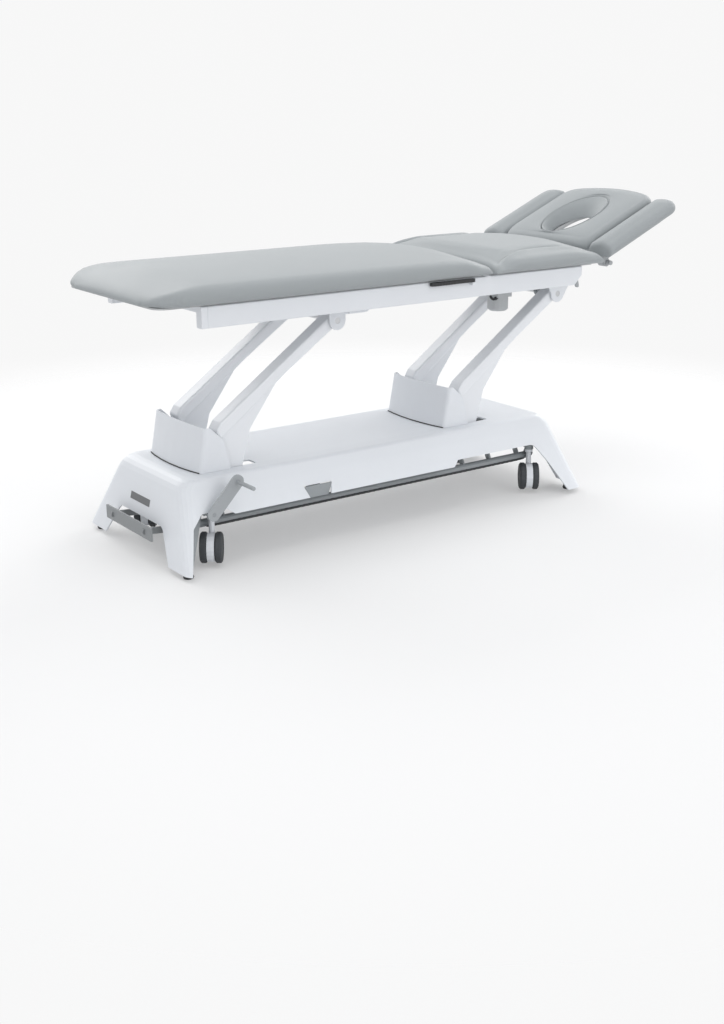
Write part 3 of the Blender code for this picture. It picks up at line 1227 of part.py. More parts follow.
def head_board():
    (s0, s1), y, r = HEAD_BOARD_S, HEAD_BOARD_HALF_WIDTH, HEAD_PAD_CORNER_RADIUS
    corners = [(s0, -y, r), (s1, -y, r), (s1, y, r), (s0, y, r)]
    length = FACE_HOLE_HALF_LENGTH + FACE_BOARD_MARGIN
    width = FACE_HOLE_HALF_WIDTH + FACE_BOARD_MARGIN
    hole = [(FACE_ALONG + length * x, width * v) for x, v in arc((0, 0), 1, 0, 2 * pi, 40)[:-1]]
    low, high = HEAD_BOARD_N
    cutter = prism(hole, "z", low - CUT_OVERRUN, high + CUT_OVERRUN)
    solid("head_board", "head_section", BOARD_GREY, prism(rounded(corners, 4), "z", low, high), cuts=[cutter])


def head_frame():
    tube = pin("y", (-HEAD_TUBE_HALF_LENGTH, HEAD_TUBE_HALF_LENGTH), 0, 0, HINGE_TUBE_RADIUS, 18)
    joins = [slab(HEAD_BAR_S, flip(HEAD_BAR_Y, side), HEAD_BAR_N) for side in (-1, 1)]
    inside = HEAD_BAR_Y[1] - GAP
    joins.append(slab(HEAD_CROSS_S, (-inside, inside), HEAD_CROSS_N))
    shaft = (-WING_SHAFT_HALF_LENGTH, WING_SHAFT_HALF_LENGTH)
    joins.append(pin("y", shaft, WING_PIVOT_S, WING_PIVOT_N, WING_SHAFT_RADIUS, 16))
    solid("head_frame", "head_section", WHITE_PAINT, tube, joins=joins)


def locking_quadrant():
    start, finish = QUADRANT_SPAN
    step = (finish - start) / QUADRANT_TEETH
    outline = []
    for tooth in range(QUADRANT_TEETH):
        for share, radius in ((0, QUADRANT_RADIUS), (0.55, QUADRANT_RADIUS), (0.62, QUADRANT_RADIUS - QUADRANT_TOOTH)):
            angle = start + step * (tooth + share)
            outline.append((radius * cos(angle), radius * sin(angle)))
    outline.append((QUADRANT_RADIUS * cos(finish), QUADRANT_RADIUS * sin(finish)))
    hub = HINGE_TUBE_RADIUS * 2
    outline += arc((0, 0), hub, finish + radians(25), start - radians(25) + 2 * pi, 14)
    bore = drilled("y", QUADRANT_Y, 0, 0, HINGE_TUBE_RADIUS + GAP, 16)
    solid("locking_quadrant", "head_section", GREY_PAINT, prism(outline, "y", *QUADRANT_Y), cuts=[bore])


def head_latch():
    pivot = (LATCH_X, LATCH_Z)
    run = Vector((HEAD_HINGE_X - LATCH_X, HINGE_Z - LATCH_Z))
    reach = run.length - QUADRANT_RADIUS - LATCH_CLEARANCE
    way = run.normalized()
    side = Vector((-way.y, way.x))
    r = LATCH_SHAFT_RADIUS + JOIN_OVERLAP
    pawl = [
        Vector(pivot) + way * reach + side * r * 0.3, Vector(pivot) + side * r,
        Vector(pivot) - way * r, Vector(pivot) - side * r, Vector(pivot) + way * reach - side * r * 0.3,
    ]
    tip = (LATCH_X + LATCH_HANDLE_TIP[0], LATCH_Z + LATCH_HANDLE_TIP[1])
    joins = [
        prism([tuple(spot) for spot in pawl], "y", *LATCH_PAWL_Y),
        prism(strap(pivot, tip, r, 8, LATCH_SHAFT_RADIUS), "y", *LATCH_HANDLE_Y),
    ]
    shaft = pin("y", LATCH_SHAFT_Y, *pivot, LATCH_SHAFT_RADIUS)
    solid("head_latch", "head_latch", GREY_PAINT, shaft, joins=joins)


def wing_arm(name, frame, side):
    pivot = (WING_PIVOT_S, WING_PIVOT_N)
    span = flip(WING_ARM_Y, side)
    blade = slab(WING_ARM_S, span, WING_ARM_N)
    hub = pin("y", [value * side for value in WING_ARM_Y], *pivot, WING_HUB_RADIUS, 16)
    bore = drilled("y", span, *pivot, WING_SHAFT_RADIUS + RUNNING_GAP, 16)
    solid(name, frame, WHITE_PAINT, blade, joins=[hub], cuts=[bore])


def wing_cushion(name, frame, side):
    low = WING_PAD_UNDERSIDE
    top = low + WING_PAD_THICKNESS
    centre = sum(WING_PAD_Y) / 2
    full = (WING_PAD_Y[1] - WING_PAD_Y[0]) / 2
    nose = WING_EDGE_RADIUS
    span = WING_PAD_TIP - HEAD_PAD_START
    start_nose = nose / 2
    stations = [start_nose * (1 - cos(radians(angle))) for angle in (0, 35, 60, 90)]
    stations += [span * share for share in (0.2, 0.4, 0.6, 0.75)]
    stations += [span - d for d in reversed(end_distances(nose, WING_CORNER_RADIUS))]
    loops = []
    for along in stations:
        from_tip = span - along
        drop = nose_drop(from_tip, nose) + nose_drop(along, start_nose)
        outer = corner_half(full, WING_CORNER_RADIUS, from_tip)
        inner = corner_half(full, WING_CORNER_RADIUS / 3, from_tip)
        half = (outer + inner) / 2
        middle = centre + (outer - inner) / 2
        crown = CUSHION_CROWN * 0.5 * eased(from_tip, 0, nose * 3)
        edge = min(nose, (top - drop - low) * 0.8)
        section = pad_section(0, half, low, top - drop, crown, edge, HEAD_PAD_LOWER_INSET)
        ease = 1 - eased(along, 0, SEAM_FADE)
        loop = []
        for y, height in section:
            lean = HEAD_PAD_START_LEAN * (height - low) / WING_PAD_THICKNESS * ease
            loop.append((HEAD_PAD_START + along + lean, side * (middle + y), height))
        loops.append(loop)
    solid(name, frame, GREY_LEATHERETTE, loft(loops), crease=40)


# Castors and their lift


def wheel_pair(name, frame):
    profile = [(radius, -height) for radius, height in WHEEL_PROFILE]
    profile += [(radius, height) for radius, height in reversed(WHEEL_PROFILE)]
    shape = turned(profile, (-CASTOR_TRAIL, 0, AXLE_Z), (0, 1, 0), 20)
    solid(name, frame, TYRE_GREY, shape)


def castor_fork(name, frame):
    axle = (-CASTOR_TRAIL, AXLE_Z)
    t = FENDER_HALF_THICKNESS
    outline = arc(axle, FENDER_RADIUS, *FENDER_ANGLES, 15)
    top = STEM_TOP_Z
    height = COLLAR_Z[1] - COLLAR_Z[0]
    profile = [
        (0, 0), (STEM_RADIUS, 0), (STEM_RADIUS, COLLAR_Z[0] - STEM_FOOT_Z),
        (COLLAR_RADIUS, COLLAR_Z[0] - STEM_FOOT_Z + height * 0.2), (COLLAR_RADIUS, COLLAR_Z[1] - STEM_FOOT_Z),
        (STEM_RADIUS, COLLAR_Z[1] - STEM_FOOT_Z), (STEM_RADIUS, top - STEM_FOOT_Z), (0, top - STEM_FOOT_Z),
    ]
    stem = turned(profile, (0, 0, STEM_FOOT_Z), (0, 0, 1), 16)
    bore = drilled("y", (-t, t), *axle, AXLE_RADIUS + RUNNING_GAP)
    solid(name, frame, WHITE_MOULDING, prism(outline, "y", -t, t), joins=[stem], cuts=[bore])


def carrier(name, frame, end):
    x = (end * CASTOR_X - CARRIER_HALF_WIDTH, end * CASTOR_X + CARRIER_HALF_WIDTH)
    joins = []
    cuts = []
    for side in (-1, 1):
        joins.append(pin("z", CARRIER_Z, end * CASTOR_X, side * CASTOR_Y, CARRIER_BOSS_RADIUS, 18))
        guide_z = (CARRIER_Z[1] - JOIN_OVERLAP, GUIDE_TOP_Z)
        joins.append(pin("z", guide_z, end * CASTOR_X, side * GUIDE_Y, GUIDE_RADIUS))
        cuts.append(drilled("z", CARRIER_Z, end * CASTOR_X, side * CASTOR_Y, STEM_RADIUS + RUNNING_GAP, 16))
    shape = slab(x, (-CASTOR_Y, CASTOR_Y), (CARRIER_BEAM_FOOT_Z, CARRIER_Z[1] - GAP))
    solid(name, frame, GREY_PAINT, shape, joins=joins, cuts=cuts)


# Foot controls


def foot_bar(name, frame, side):
    x, y, r, z = FOOT_BAR_HALF_LENGTH, FOOT_BAR_Y, FOOT_BAR_BEND, FOOT_BAR_Z
    corners = [(-x, FOOT_BAR_END_Y, 0), (-x, y, r), (x, y, r), (x, FOOT_BAR_END_Y, 0)]
    path = [(px, side * py, z) for px, py in rounded(corners, 6)]
    pivot = (side * HANGER_PIVOT_Y, HANGER_PIVOT_Z)
    joins = []
    cuts = []
    for place in HANGER_X:
        span = (place - HANGER_THICKNESS / 2, place + HANGER_THICKNESS / 2)
        joins.append(prism(strap(pivot, (side * y, z), HANGER_RADIUS), "x", *span))
        cuts.append(drilled("x", span, *pivot, HANGER_PIN_RADIUS + RUNNING_GAP))
    solid(name, frame, GREY_PAINT, swept(path, FOOT_BAR_RADIUS, 14), joins=joins, cuts=cuts)


def end_pedal():
    z0, z1 = PEDAL_Z
    half = PEDAL_HALF_WIDTH
    r = RAIL_EDGE
    outline = rounded([(-half, z0, r), (half, z0, r), (half, z1, r), (-half, z1, r)], 3)
    plate = prism(outline, "x", PEDAL_X - PEDAL_THICKNESS / 2, PEDAL_X + PEDAL_THICKNESS / 2)
    pivot = (PEDAL_PIVOT_X, PEDAL_PIVOT_Z)
    joins = []
    cuts = []
    for side in (-1, 1):
        span = flip(PEDAL_ARM_Y, side)
        joins.append(prism(strap(pivot, (PEDAL_X, sum(PEDAL_Z) / 2), PEDAL_ARM_RADIUS), "y", *span))
        cuts.append(drilled("y", span, *pivot, HANGER_PIN_RADIUS + RUNNING_GAP))
    solid("end_pedal", "end_pedal", GREY_PAINT, plate, joins=joins, cuts=cuts)


def castor_lever():
    pivot = (LEVER_PIVOT_X, LEVER_PIVOT_Z)
    head = (LEVER_PIVOT_X + LEVER_REACH_X, LEVER_PIVOT_Z + LEVER_RISE_Z)
    blade = prism(strap(pivot, head, LEVER_FOOT_RADIUS, 8, LEVER_HEAD_RADIUS), "y", *flip(LEVER_Y, -1))
    rod_y = (-LEVER_ROD_TIP_Y, -LEVER_Y[0] - JOIN_OVERLAP)
    rod = pin("y", rod_y, *head, LEVER_ROD_RADIUS, 20)
    bore = drilled("y", flip(LEVER_Y, -1), *pivot, LEVER_PIN_RADIUS + RUNNING_GAP)
    solid("castor_lever", "castor_lever", GREY_PAINT, blade, joins=[rod], cuts=[bore])


def release_handle():
    x0, x1 = HANDLE_HINGE_X - HANDLE_LENGTH, HANDLE_HINGE_X + HANDLE_HALF_WIDTH
    y0, y1 = -HANDLE_Y - HANDLE_HALF_WIDTH, -HANDLE_Y + HANDLE_HALF_WIDTH
    r = HANDLE_HALF_WIDTH * 0.9
    outline = rounded([(x0, y0, r / 2), (x1, y0, r), (x1, y1, r), (x0, y1, r / 2)], 4)
    low, high = HANDLE_Z
    bore_z = (low, HANDLE_PIN_TOP_Z + GAP - CUT_OVERRUN)
    bore = drilled("z", bore_z, HANDLE_HINGE_X, -HANDLE_Y, HANDLE_PIN_RADIUS + RUNNING_GAP)
    solid("release_handle", "release_handle", DARK_PLASTIC, prism(outline, "z", low, high), cuts=[bore])


# Assembly

add_frame("root", None, (DATUM_X, DATUM_Y, 0))
add_frame("arms_left", "root", (LEFT_LOWER_PIVOT_X, 0, LOWER_PIVOT_Z))
add_frame("arms_right", "root", (RIGHT_LOWER_PIVOT_X, 0, LOWER_PIVOT_Z))
add_frame("top", "arms_left", (LEFT_UPPER_PIVOT_X, 0, UPPER_PIVOT_Z))
add_frame("leg_section", "top", (SEAM_X, 0, HINGE_Z))
add_frame("gas_rod", "top", (GAS_PIN_X, GAS_Y, GAS_Z))
add_frame("lift_rod", "top", (FORK_CHEEK_X[0], CRANK_Y, LIFT_LINE_Z))
add_frame("head_section", "top", (HEAD_HINGE_X, 0, HINGE_Z), tilt=HEAD_REST_ANGLE, local=True)
add_frame("head_latch", "top", (LATCH_X, LATCH_SHAFT_Y[0], LATCH_Z))
add_frame("release_handle", "top", (HANDLE_HINGE_X, -HANDLE_Y, HANDLE_Z[0]))
add_frame("end_pedal", "root", (PEDAL_PIVOT_X, 0, PEDAL_PIVOT_Z))
add_frame("castor_lever", "root", (LEVER_PIVOT_X, -LEVER_Y[0], LEVER_PIVOT_Z))
for side_name, side_sign in (("near", -1), ("far", 1)):
    wing_y = side_sign * sum(WING_ARM_Y) / 2
    add_frame(f"wing_{side_name}", "head_section", (WING_PIVOT_S, wing_y, WING_PIVOT_N))
    add_frame(f"foot_bar_{side_name}", "root", (0, side_sign * HANGER_PIVOT_Y, HANGER_PIVOT_Z))
for end_name, end_sign in (("left", -1), ("right", 1)):
    add_frame(f"carrier_{end_name}", "root", (end_sign * CASTOR_X, 0, CARRIER_Z[0]))
    for side_name, side_sign in (("near", -1), ("far", 1)):
        place = (end_sign * CASTOR_X, side_sign * CASTOR_Y, 0)
        corner = f"{end_name}_{side_name}"
        add_frame(f"castor_{corner}", f"carrier_{end_name}", place, turn=CASTOR_REST_TURN, local=True)
        add_frame(f"wheels_{corner}", f"castor_{corner}", (-CASTOR_TRAIL, 0, AXLE_Z))

base_shell()
blank_plate()
chassis()
column_cover("column_cover_left", LEFT_LOWER_PIVOT_X)
column_cover("column_cover_right", RIGHT_LOWER_PIVOT_X)
for side_name, side_sign in (("near", -1), ("far", 1)):
    lift_arm(f"arm_left_{side_name}", "arms_left", side_sign, LEFT_LOWER_PIVOT_X, RUNNING_GAP)
    lift_arm(f"arm_right_{side_name}", "arms_right", side_sign, RIGHT_LOWER_PIVOT_X, GAP)
    rail(f"rail_{side_name}", side_sign)
    wing_arm(f"wing_arm_{side_name}", f"wing_{side_name}", side_sign)
    wing_cushion(f"wing_cushion_{side_name}", f"wing_{side_name}", side_sign)
    foot_bar(f"foot_bar_{side_name}", f"foot_bar_{side_name}", side_sign)
cross_shaft("lower_shaft_left", "arms_left", LEFT_LOWER_PIVOT_X, LOWER_PIVOT_Z, LOWER_SHAFT_HALF_LENGTH)
cross_shaft("lower_shaft_right", "arms_right", RIGHT_LOWER_PIVOT_X, LOWER_PIVOT_Z, LOWER_SHAFT_HALF_LENGTH)
cross_shaft("upper_shaft_left", "top", LEFT_UPPER_PIVOT_X, UPPER_PIVOT_Z, UPPER_SHAFT_HALF_LENGTH)
cross_shaft("upper_shaft_right", "arms_right", RIGHT_UPPER_PIVOT_X, UPPER_PIVOT_Z, UPPER_SHAFT_HALF_LENGTH)
lift_crank()
solid("cross_member_foot", "top", WHITE_PAINT, member_bar(FOOT_MEMBER_X, FOOT_MEMBER_Z))
solid("cross_member_middle", "top", WHITE_PAINT, member_bar(MIDDLE_MEMBER_X, MIDDLE_MEMBER_Z))
left_beam()
right_beam()
seam_member()
lift_drive()
control_box()
gas_spring()
board("leg_board", "leg_section", LEG_BOARD_X)
board("middle_board", "top", MIDDLE_BOARD_X)
leg_cushion()
middle_cushion()
leg_frame()
head_cushion()
head_board()
head_frame()
locking_quadrant()
head_latch()
end_pedal()
castor_lever()
release_handle()
for end_name, end_sign in (("left", -1), ("right", 1)):
    carrier(f"carrier_{end_name}", f"carrier_{end_name}", end_sign)
    for side_name, side_sign in (("near", -1), ("far", 1)):
        corner = f"{end_name}_{side_name}"
        foot_pad(f"foot_{corner}", end_sign, side_sign)
        castor_fork(f"castor_{corner}", f"castor_{corner}")
        wheel_pair(f"wheels_{corner}", f"wheels_{corner}")
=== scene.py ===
from math import cos, hypot, pi, radians, sin, sqrt, tan

import bmesh
import bpy
import numpy as np
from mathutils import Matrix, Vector
from mathutils.bvhtree import BVHTree


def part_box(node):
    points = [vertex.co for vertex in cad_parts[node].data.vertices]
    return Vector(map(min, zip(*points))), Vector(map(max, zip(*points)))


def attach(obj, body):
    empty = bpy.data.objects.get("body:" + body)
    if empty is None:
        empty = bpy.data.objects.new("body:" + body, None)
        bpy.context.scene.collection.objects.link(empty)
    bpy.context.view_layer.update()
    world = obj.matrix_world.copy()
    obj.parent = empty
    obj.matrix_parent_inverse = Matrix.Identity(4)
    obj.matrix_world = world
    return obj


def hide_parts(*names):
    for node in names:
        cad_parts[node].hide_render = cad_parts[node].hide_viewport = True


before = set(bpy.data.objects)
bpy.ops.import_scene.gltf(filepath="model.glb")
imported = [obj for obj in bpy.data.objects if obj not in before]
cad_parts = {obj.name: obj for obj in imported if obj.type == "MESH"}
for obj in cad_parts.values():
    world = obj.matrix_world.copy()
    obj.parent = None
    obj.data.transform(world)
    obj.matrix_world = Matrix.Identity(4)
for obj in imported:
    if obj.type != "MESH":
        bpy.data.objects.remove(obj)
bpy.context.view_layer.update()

shift = Vector((-0.188110, 0.011, 0.0))           # drawing frame to the part's frame, as in the record
scene = bpy.context.scene
print("frame loaded:", len(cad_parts), "nodes")

# Camera and light

view = {
    "place": (-2.49977, -3.51465, 1.37807),       # solved from the photograph, in the drawing frame
    "direction": (0.561331, 0.768132, -0.308027),
    "lens": 46.48,
}
camera = bpy.data.objects.new("camera", bpy.data.cameras.new("camera"))
scene.collection.objects.link(camera)
camera.location = Vector(view["place"]) + shift
camera.rotation_euler = Vector(view["direction"]).to_track_quat("-Z", "Y").to_euler()
camera.data.lens = view["lens"]
camera.data.sensor_width = 36.0
camera.data.clip_end = 60.0
scene.camera = camera
scene.view_settings.view_transform = "Standard"

lightPlan = {
    # name: place, target, size, watts, colour
    "right": ((8.0, 2.2, 4.6), (0.0, 0.0, 0.6), 5.5, 330.0, (1.0, 0.99, 0.98)),
    "back": ((-0.5, 8.0, 5.0), (0.0, 0.0, 0.5), 6.0, 345.0, (1.0, 0.99, 0.98)),
    "left": ((-8.0, -1.4, 3.0), (0.0, 0.0, 0.5), 5.0, 35.0, (0.97, 0.98, 1.0)),
    "top": ((-1.0, -0.5, 9.0), (0.1, 0.0, 0.5), 6.0, 195.0, (1.0, 1.0, 1.0)),
    "front": ((1.6, -8.2, 3.6), (0.1, 0.0, 0.5), 6.0, 170.0, (1.0, 1.0, 1.0)),
}
for lampName, (place, target, size, watts, colour) in lightPlan.items():
    lampData = bpy.data.lights.new(lampName, "AREA")
    lampData.size = size
    lampData.energy = watts
    lampData.color = colour
    lamp = bpy.data.objects.new(lampName, lampData)
    scene.collection.objects.link(lamp)
    lamp.location = place
    lamp.rotation_euler = (Vector(target) - Vector(place)).to_track_quat("-Z", "Y").to_euler()


# Shader helpers, the world, and the effects that several materials share

def newGroup(name, ins, outs):
    # ins: socket name, socket type, default; outs: socket name, socket type
    group = bpy.data.node_groups.new(name, "ShaderNodeTree")
    for socketName, kind, default in ins:
        socket = group.interface.new_socket(socketName, in_out="INPUT", socket_type=kind)
        socket.default_value = default
    for socketName, kind in outs:
        group.interface.new_socket(socketName, in_out="OUTPUT", socket_type=kind)
    return group, group.nodes.new("NodeGroupInput"), group.nodes.new("NodeGroupOutput")


def addNode(tree, kind, values=None, **settings):
    # values go to the node's sockets, settings to the node itself
    node = tree.nodes.new(kind)
    for key, value in settings.items():
        setattr(node, key, value)
    for key, value in (values or {}).items():
        node.inputs[key].default_value = value
    return node


def join(tree, source, output, target, socket):
    tree.links.new(source.outputs[output], target.inputs[socket])


backdrop = {"lit": (0.92, 0.93, 0.95), "litStrength": 0.74, "seen": (0.934, 0.934, 0.934)}


def buildWorld():
    # The same pale studio lights everything; the camera, glossy and clear surfaces see the backdrop
    world = bpy.data.worlds.new("studio")
    scene.world = world
    world.use_nodes = True
    tree = world.node_tree
    tree.nodes.clear()
    lit = addNode(tree, "ShaderNodeBackground",
                  {"Color": (*backdrop["lit"], 1.0), "Strength": backdrop["litStrength"]})
    seen = addNode(tree, "ShaderNodeBackground", {"Color": (*backdrop["seen"], 1.0)})
    path = addNode(tree, "ShaderNodeLightPath")
    glossy = addNode(tree, "ShaderNodeMath", operation="MAXIMUM")
    clear = addNode(tree, "ShaderNodeMath", operation="MAXIMUM")
    mix = addNode(tree, "ShaderNodeMixShader")
    out = addNode(tree, "ShaderNodeOutputWorld")
    join(tree, path, "Is Camera Ray", glossy, 0)
    join(tree, path, "Is Glossy Ray", glossy, 1)
    join(tree, glossy, 0, clear, 0)
    join(tree, path, "Is Transmission Ray", clear, 1)
    join(tree, clear, 0, mix, 0)
    join(tree, lit, 0, mix, 1)
    join(tree, seen, 0, mix, 2)
    join(tree, mix, 0, out, 0)


buildWorld()


def buildGrain():
    # Leatherette grain: small cells whose borders sink, over a slow swell of the surface
    group, source, target = newGroup(
        "leatheretteGrain",
        [("Cell Scale", "NodeSocketFloat", 900.0), ("Depth", "NodeSocketFloat", 0.35)],
        [("Height", "NodeSocketFloat"), ("Mottle", "NodeSocketFloat")],
    )
    place = addNode(group, "ShaderNodeTexCoord")
    cells = addNode(group, "ShaderNodeTexVoronoi", feature="DISTANCE_TO_EDGE")
    join(group, place, "Object", cells, "Vector")
    join(group, source, "Cell Scale", cells, "Scale")
    edge = addNode(group, "ShaderNodeMapRange", {"From Min": 0.0, "From Max": 0.14})
    join(group, cells, "Distance", edge, "Value")
    fine = addNode(group, "ShaderNodeTexNoise", {"Scale": 2600.0, "Detail": 2.0})
    join(group, place, "Object", fine, "Vector")
    mixed = addNode(group, "ShaderNodeMath", {1: 0.35}, operation="MULTIPLY_ADD")
    join(group, fine, "Fac", mixed, 0)
    join(group, edge, "Result", mixed, 2)
    deep = addNode(group, "ShaderNodeMath", operation="MULTIPLY")
    join(group, mixed, "Value", deep, 0)
    join(group, source, "Depth", deep, 1)
    join(group, deep, "Value", target, "Height")
    slow = addNode(group, "ShaderNodeTexNoise", {"Scale": 7.0, "Detail": 3.0, "Roughness": 0.5})
    join(group, place, "Object", slow, "Vector")
    join(group, slow, "Fac", target, "Mottle")
    return group


def buildCoat():
    # Orange-peel surface of powder coat or moulded plastic, and a slow unevenness for its colour
    group, source, target = newGroup(
        "coatSurface",
        [("Peel Scale", "NodeSocketFloat", 420.0), ("Peel Depth", "NodeSocketFloat", 0.3)],
        [("Height", "NodeSocketFloat"), ("Unevenness", "NodeSocketFloat")],
    )
    place = addNode(group, "ShaderNodeTexCoord")
    peel = addNode(group, "ShaderNodeTexNoise", {"Detail": 3.0, "Roughness": 0.55})
    join(group, place, "Object", peel, "Vector")
    join(group, source, "Peel Scale", peel, "Scale")
    deep = addNode(group, "ShaderNodeMath", operation="MULTIPLY")
    join(group, peel, "Fac", deep, 0)
    join(group, source, "Peel Depth", deep, 1)
    join(group, deep, "Value", target, "Height")
    slow = addNode(group, "ShaderNodeTexNoise", {"Scale": 5.0, "Detail": 4.0})
    join(group, place, "Object", slow, "Vector")
    join(group, slow, "Fac", target, "Unevenness")
    return group


def buildEdgeHighlight():
    # Painted highlight on edges: where the surface bends sharply, masked by a broken noise
    group, source, target = newGroup(
        "paintedEdgeHighlight",
        [("Amount", "NodeSocketFloat", 0.5)],
        [("Mask", "NodeSocketFloat")],
    )
    place = addNode(group, "ShaderNodeTexCoord")
    shape = addNode(group, "ShaderNodeNewGeometry")
    bend = addNode(group, "ShaderNodeMapRange", {"From Min": 0.52, "From Max": 0.64})
    join(group, shape, "Pointiness", bend, "Value")
    broken = addNode(group, "ShaderNodeTexNoise", {"Scale": 60.0, "Detail": 4.0})
    join(group, place, "Object", broken, "Vector")
    share = addNode(group, "ShaderNodeMath", operation="MULTIPLY")
    join(group, bend, "Result", share, 0)
    join(group, broken, "Fac", share, 1)
    scaled = addNode(group, "ShaderNodeMath", operation="MULTIPLY")
    join(group, share, "Value", scaled, 0)
    join(group, source, "Amount", scaled, 1)
    join(group, scaled, "Value", target, "Mask")
    return group


grainGroup = buildGrain()
coatGroup = buildCoat()
edgeHighlightGroup = buildEdgeHighlight()


def blankMaterial(name, roughness, metallic=0.0, **sockets):
    # sockets: a Principled BSDF input with underscores for its spaces, and its value
    made = bpy.data.materials.new(name)
    made.use_nodes = True
    shader = made.node_tree.nodes["Principled BSDF"]
    shader.inputs["Roughness"].default_value = roughness
    shader.inputs["Metallic"].default_value = metallic
    for socketName, value in sockets.items():
        shader.inputs[socketName.replace("_", " ")].default_value = value
    return made, made.node_tree, shader


def mixColour(tree, low, high):
    # A mix of two colours by a factor that is linked in afterwards; 6 and 7 are its colour sockets
    return addNode(tree, "ShaderNodeMix", {6: (*low, 1.0), 7: (*high, 1.0)}, data_type="RGBA")


def dressed(tree, shader, colour, roughness, unevenness, socket, spread):
    # The worked-out colour, and a roughness that varies round its set value
    tree.links.new(colour.outputs[2], shader.inputs["Base Color"])
    low, high = spread
    gloss = addNode(tree, "ShaderNodeMapRange", {"To Min": roughness - low, "To Max": roughness + high})
    join(tree, unevenness, socket, gloss, "Value")
    tree.links.new(gloss.outputs["Result"], shader.inputs["Roughness"])


def bumped(tree, shader, surface, strength, distance):
    # A group's height bends the shader's normal
    bump = addNode(tree, "ShaderNodeBump", {"Strength": strength, "Distance": distance})
    join(tree, surface, "Height", bump, "Height")
    tree.links.new(bump.outputs["Normal"], shader.inputs["Normal"])


def toned(colour, factor, lift=0.0):
    # The same colour made lighter or darker
    return tuple(min(1.0, value * factor + lift) for value in colour)


# how much lighter the painted edge highlight makes sharp edges
highlightPlan = {"amount": 0.35, "lighter": 1.12, "lift": 0.02}
# valley: how dark the painted shade in the grain's sunken borders is
leather = {"cellScale": 620.0, "depth": 0.5, "darker": 0.955, "lighter": 1.035, "valley": 0.90,
           "sheen": 0.10, "sheenRoughness": 0.45, "specular": 0.26}


def coated(name, colour, roughness, peelScale=420.0, peelDepth=0.25, variation=0.03):
    # Powder coat or moulding: orange peel, slightly uneven colour, a painted highlight on sharp edges
    made, tree, shader = blankMaterial(name, roughness, Specular_IOR_Level=0.36)
    coat = addNode(tree, "ShaderNodeGroup", {"Peel Scale": peelScale, "Peel Depth": peelDepth},
                   node_tree=coatGroup)
    base = mixColour(tree, toned(colour, 1 - variation), toned(colour, 1 + variation))
    join(tree, coat, "Unevenness", base, 0)
    # sharp edges are made lighter: a painted highlight
    edge = addNode(tree, "ShaderNodeGroup", {"Amount": highlightPlan["amount"]}, node_tree=edgeHighlightGroup)
    highlighted = mixColour(tree, colour, toned(colour, highlightPlan["lighter"], highlightPlan["lift"]))
    join(tree, edge, "Mask", highlighted, 0)
    tree.links.new(base.outputs[2], highlighted.inputs[6])
    dressed(tree, shader, highlighted, roughness, coat, "Unevenness", (0.05, 0.07))
    bumped(tree, shader, coat, 0.25, 0.0006)
    return made


def leatherette(name, colour, roughness):
    # Upholstery: grain with painted shade in its sunken borders, faint mottling, a light sheen
    made, tree, shader = blankMaterial(name, roughness, Sheen_Weight=leather["sheen"],
                                       Sheen_Roughness=leather["sheenRoughness"],
                                       Specular_IOR_Level=leather["specular"])
    grain = addNode(tree, "ShaderNodeGroup", {"Cell Scale": leather["cellScale"], "Depth": leather["depth"]},
                    node_tree=grainGroup)
    base = mixColour(tree, toned(colour, leather["darker"]), toned(colour, leather["lighter"]))
    join(tree, grain, "Mottle", base, 0)
    # the grain's sunken cell borders are darker: painted shade in its hollows
    valley = mixColour(tree, toned(colour, leather["valley"]), colour)
    join(tree, grain, "Height", valley, 0)
    tree.links.new(base.outputs[2], valley.inputs[7])
    dressed(tree, shader, valley, roughness, grain, "Mottle", (0.06, 0.08))
    bumped(tree, shader, grain, 0.30, 0.0005)
    return made


def brushed(name, colour, roughness):
    # Ground steel: fine rings of tone along the bar and small roughness changes
    made, tree, shader = blankMaterial(name, roughness, 1.0)
    place = addNode(tree, "ShaderNodeTexCoord")
    stretch = addNode(tree, "ShaderNodeMapping", {"Scale": (900.0, 40.0, 900.0)})
    join(tree, place, "Object", stretch, "Vector")
    lines = addNode(tree, "ShaderNodeTexNoise", {"Scale": 1.0, "Detail": 3.0})
    join(tree, stretch, "Vector", lines, "Vector")
    base = mixColour(tree, toned(colour, 0.82), colour)
    join(tree, lines, "Fac", base, 0)
    dressed(tree, shader, base, roughness, lines, "Fac", (0.06, 0.10))
    return made


whitePaint = coated("whitePaint", (0.750, 0.770, 0.800), 0.34)
# the arms get a lighter copy of the white paint: painted light for faces that the top shades
paintedLightArmWhite = coated("paintedLightArmWhite", (0.810, 0.828, 0.855), 0.36)
# the head frame and wing arms are white paint made grey here: painted shade for the dark strip under the head
# section
paintedShadeWhite = coated("paintedShadeWhite", (0.390, 0.405, 0.415), 0.45, variation=0.05)
whiteMoulding = coated("whiteMoulding", (0.755, 0.778, 0.810), 0.42, 700.0, 0.20)
cushionLeatherette = leatherette("cushionLeatherette", (0.358, 0.382, 0.392), 0.54)
boardFacing = coated("boardFacing", (0.480, 0.490, 0.495), 0.70, 900.0, 0.5, 0.12)
greyPaint = coated("greyPaint", (0.300, 0.322, 0.335), 0.42, variation=0.06)
leverPaint = coated("leverPaint", (0.365, 0.385, 0.400), 0.42, variation=0.05)
pedalPaint = coated("pedalPaint", (0.255, 0.268, 0.275), 0.46, variation=0.06)
motorGrey = coated("motorGrey", (0.520, 0.535, 0.545), 0.50, variation=0.06)
groundSteel = brushed("groundSteel", (0.62, 0.63, 0.65), 0.30)
darkPlastic = coated("darkPlastic", (0.030, 0.031, 0.033), 0.50, 900.0, 0.6, 0.15)
plateGrey = coated("plateGrey", (0.160, 0.165, 0.170), 0.50, variation=0.08)
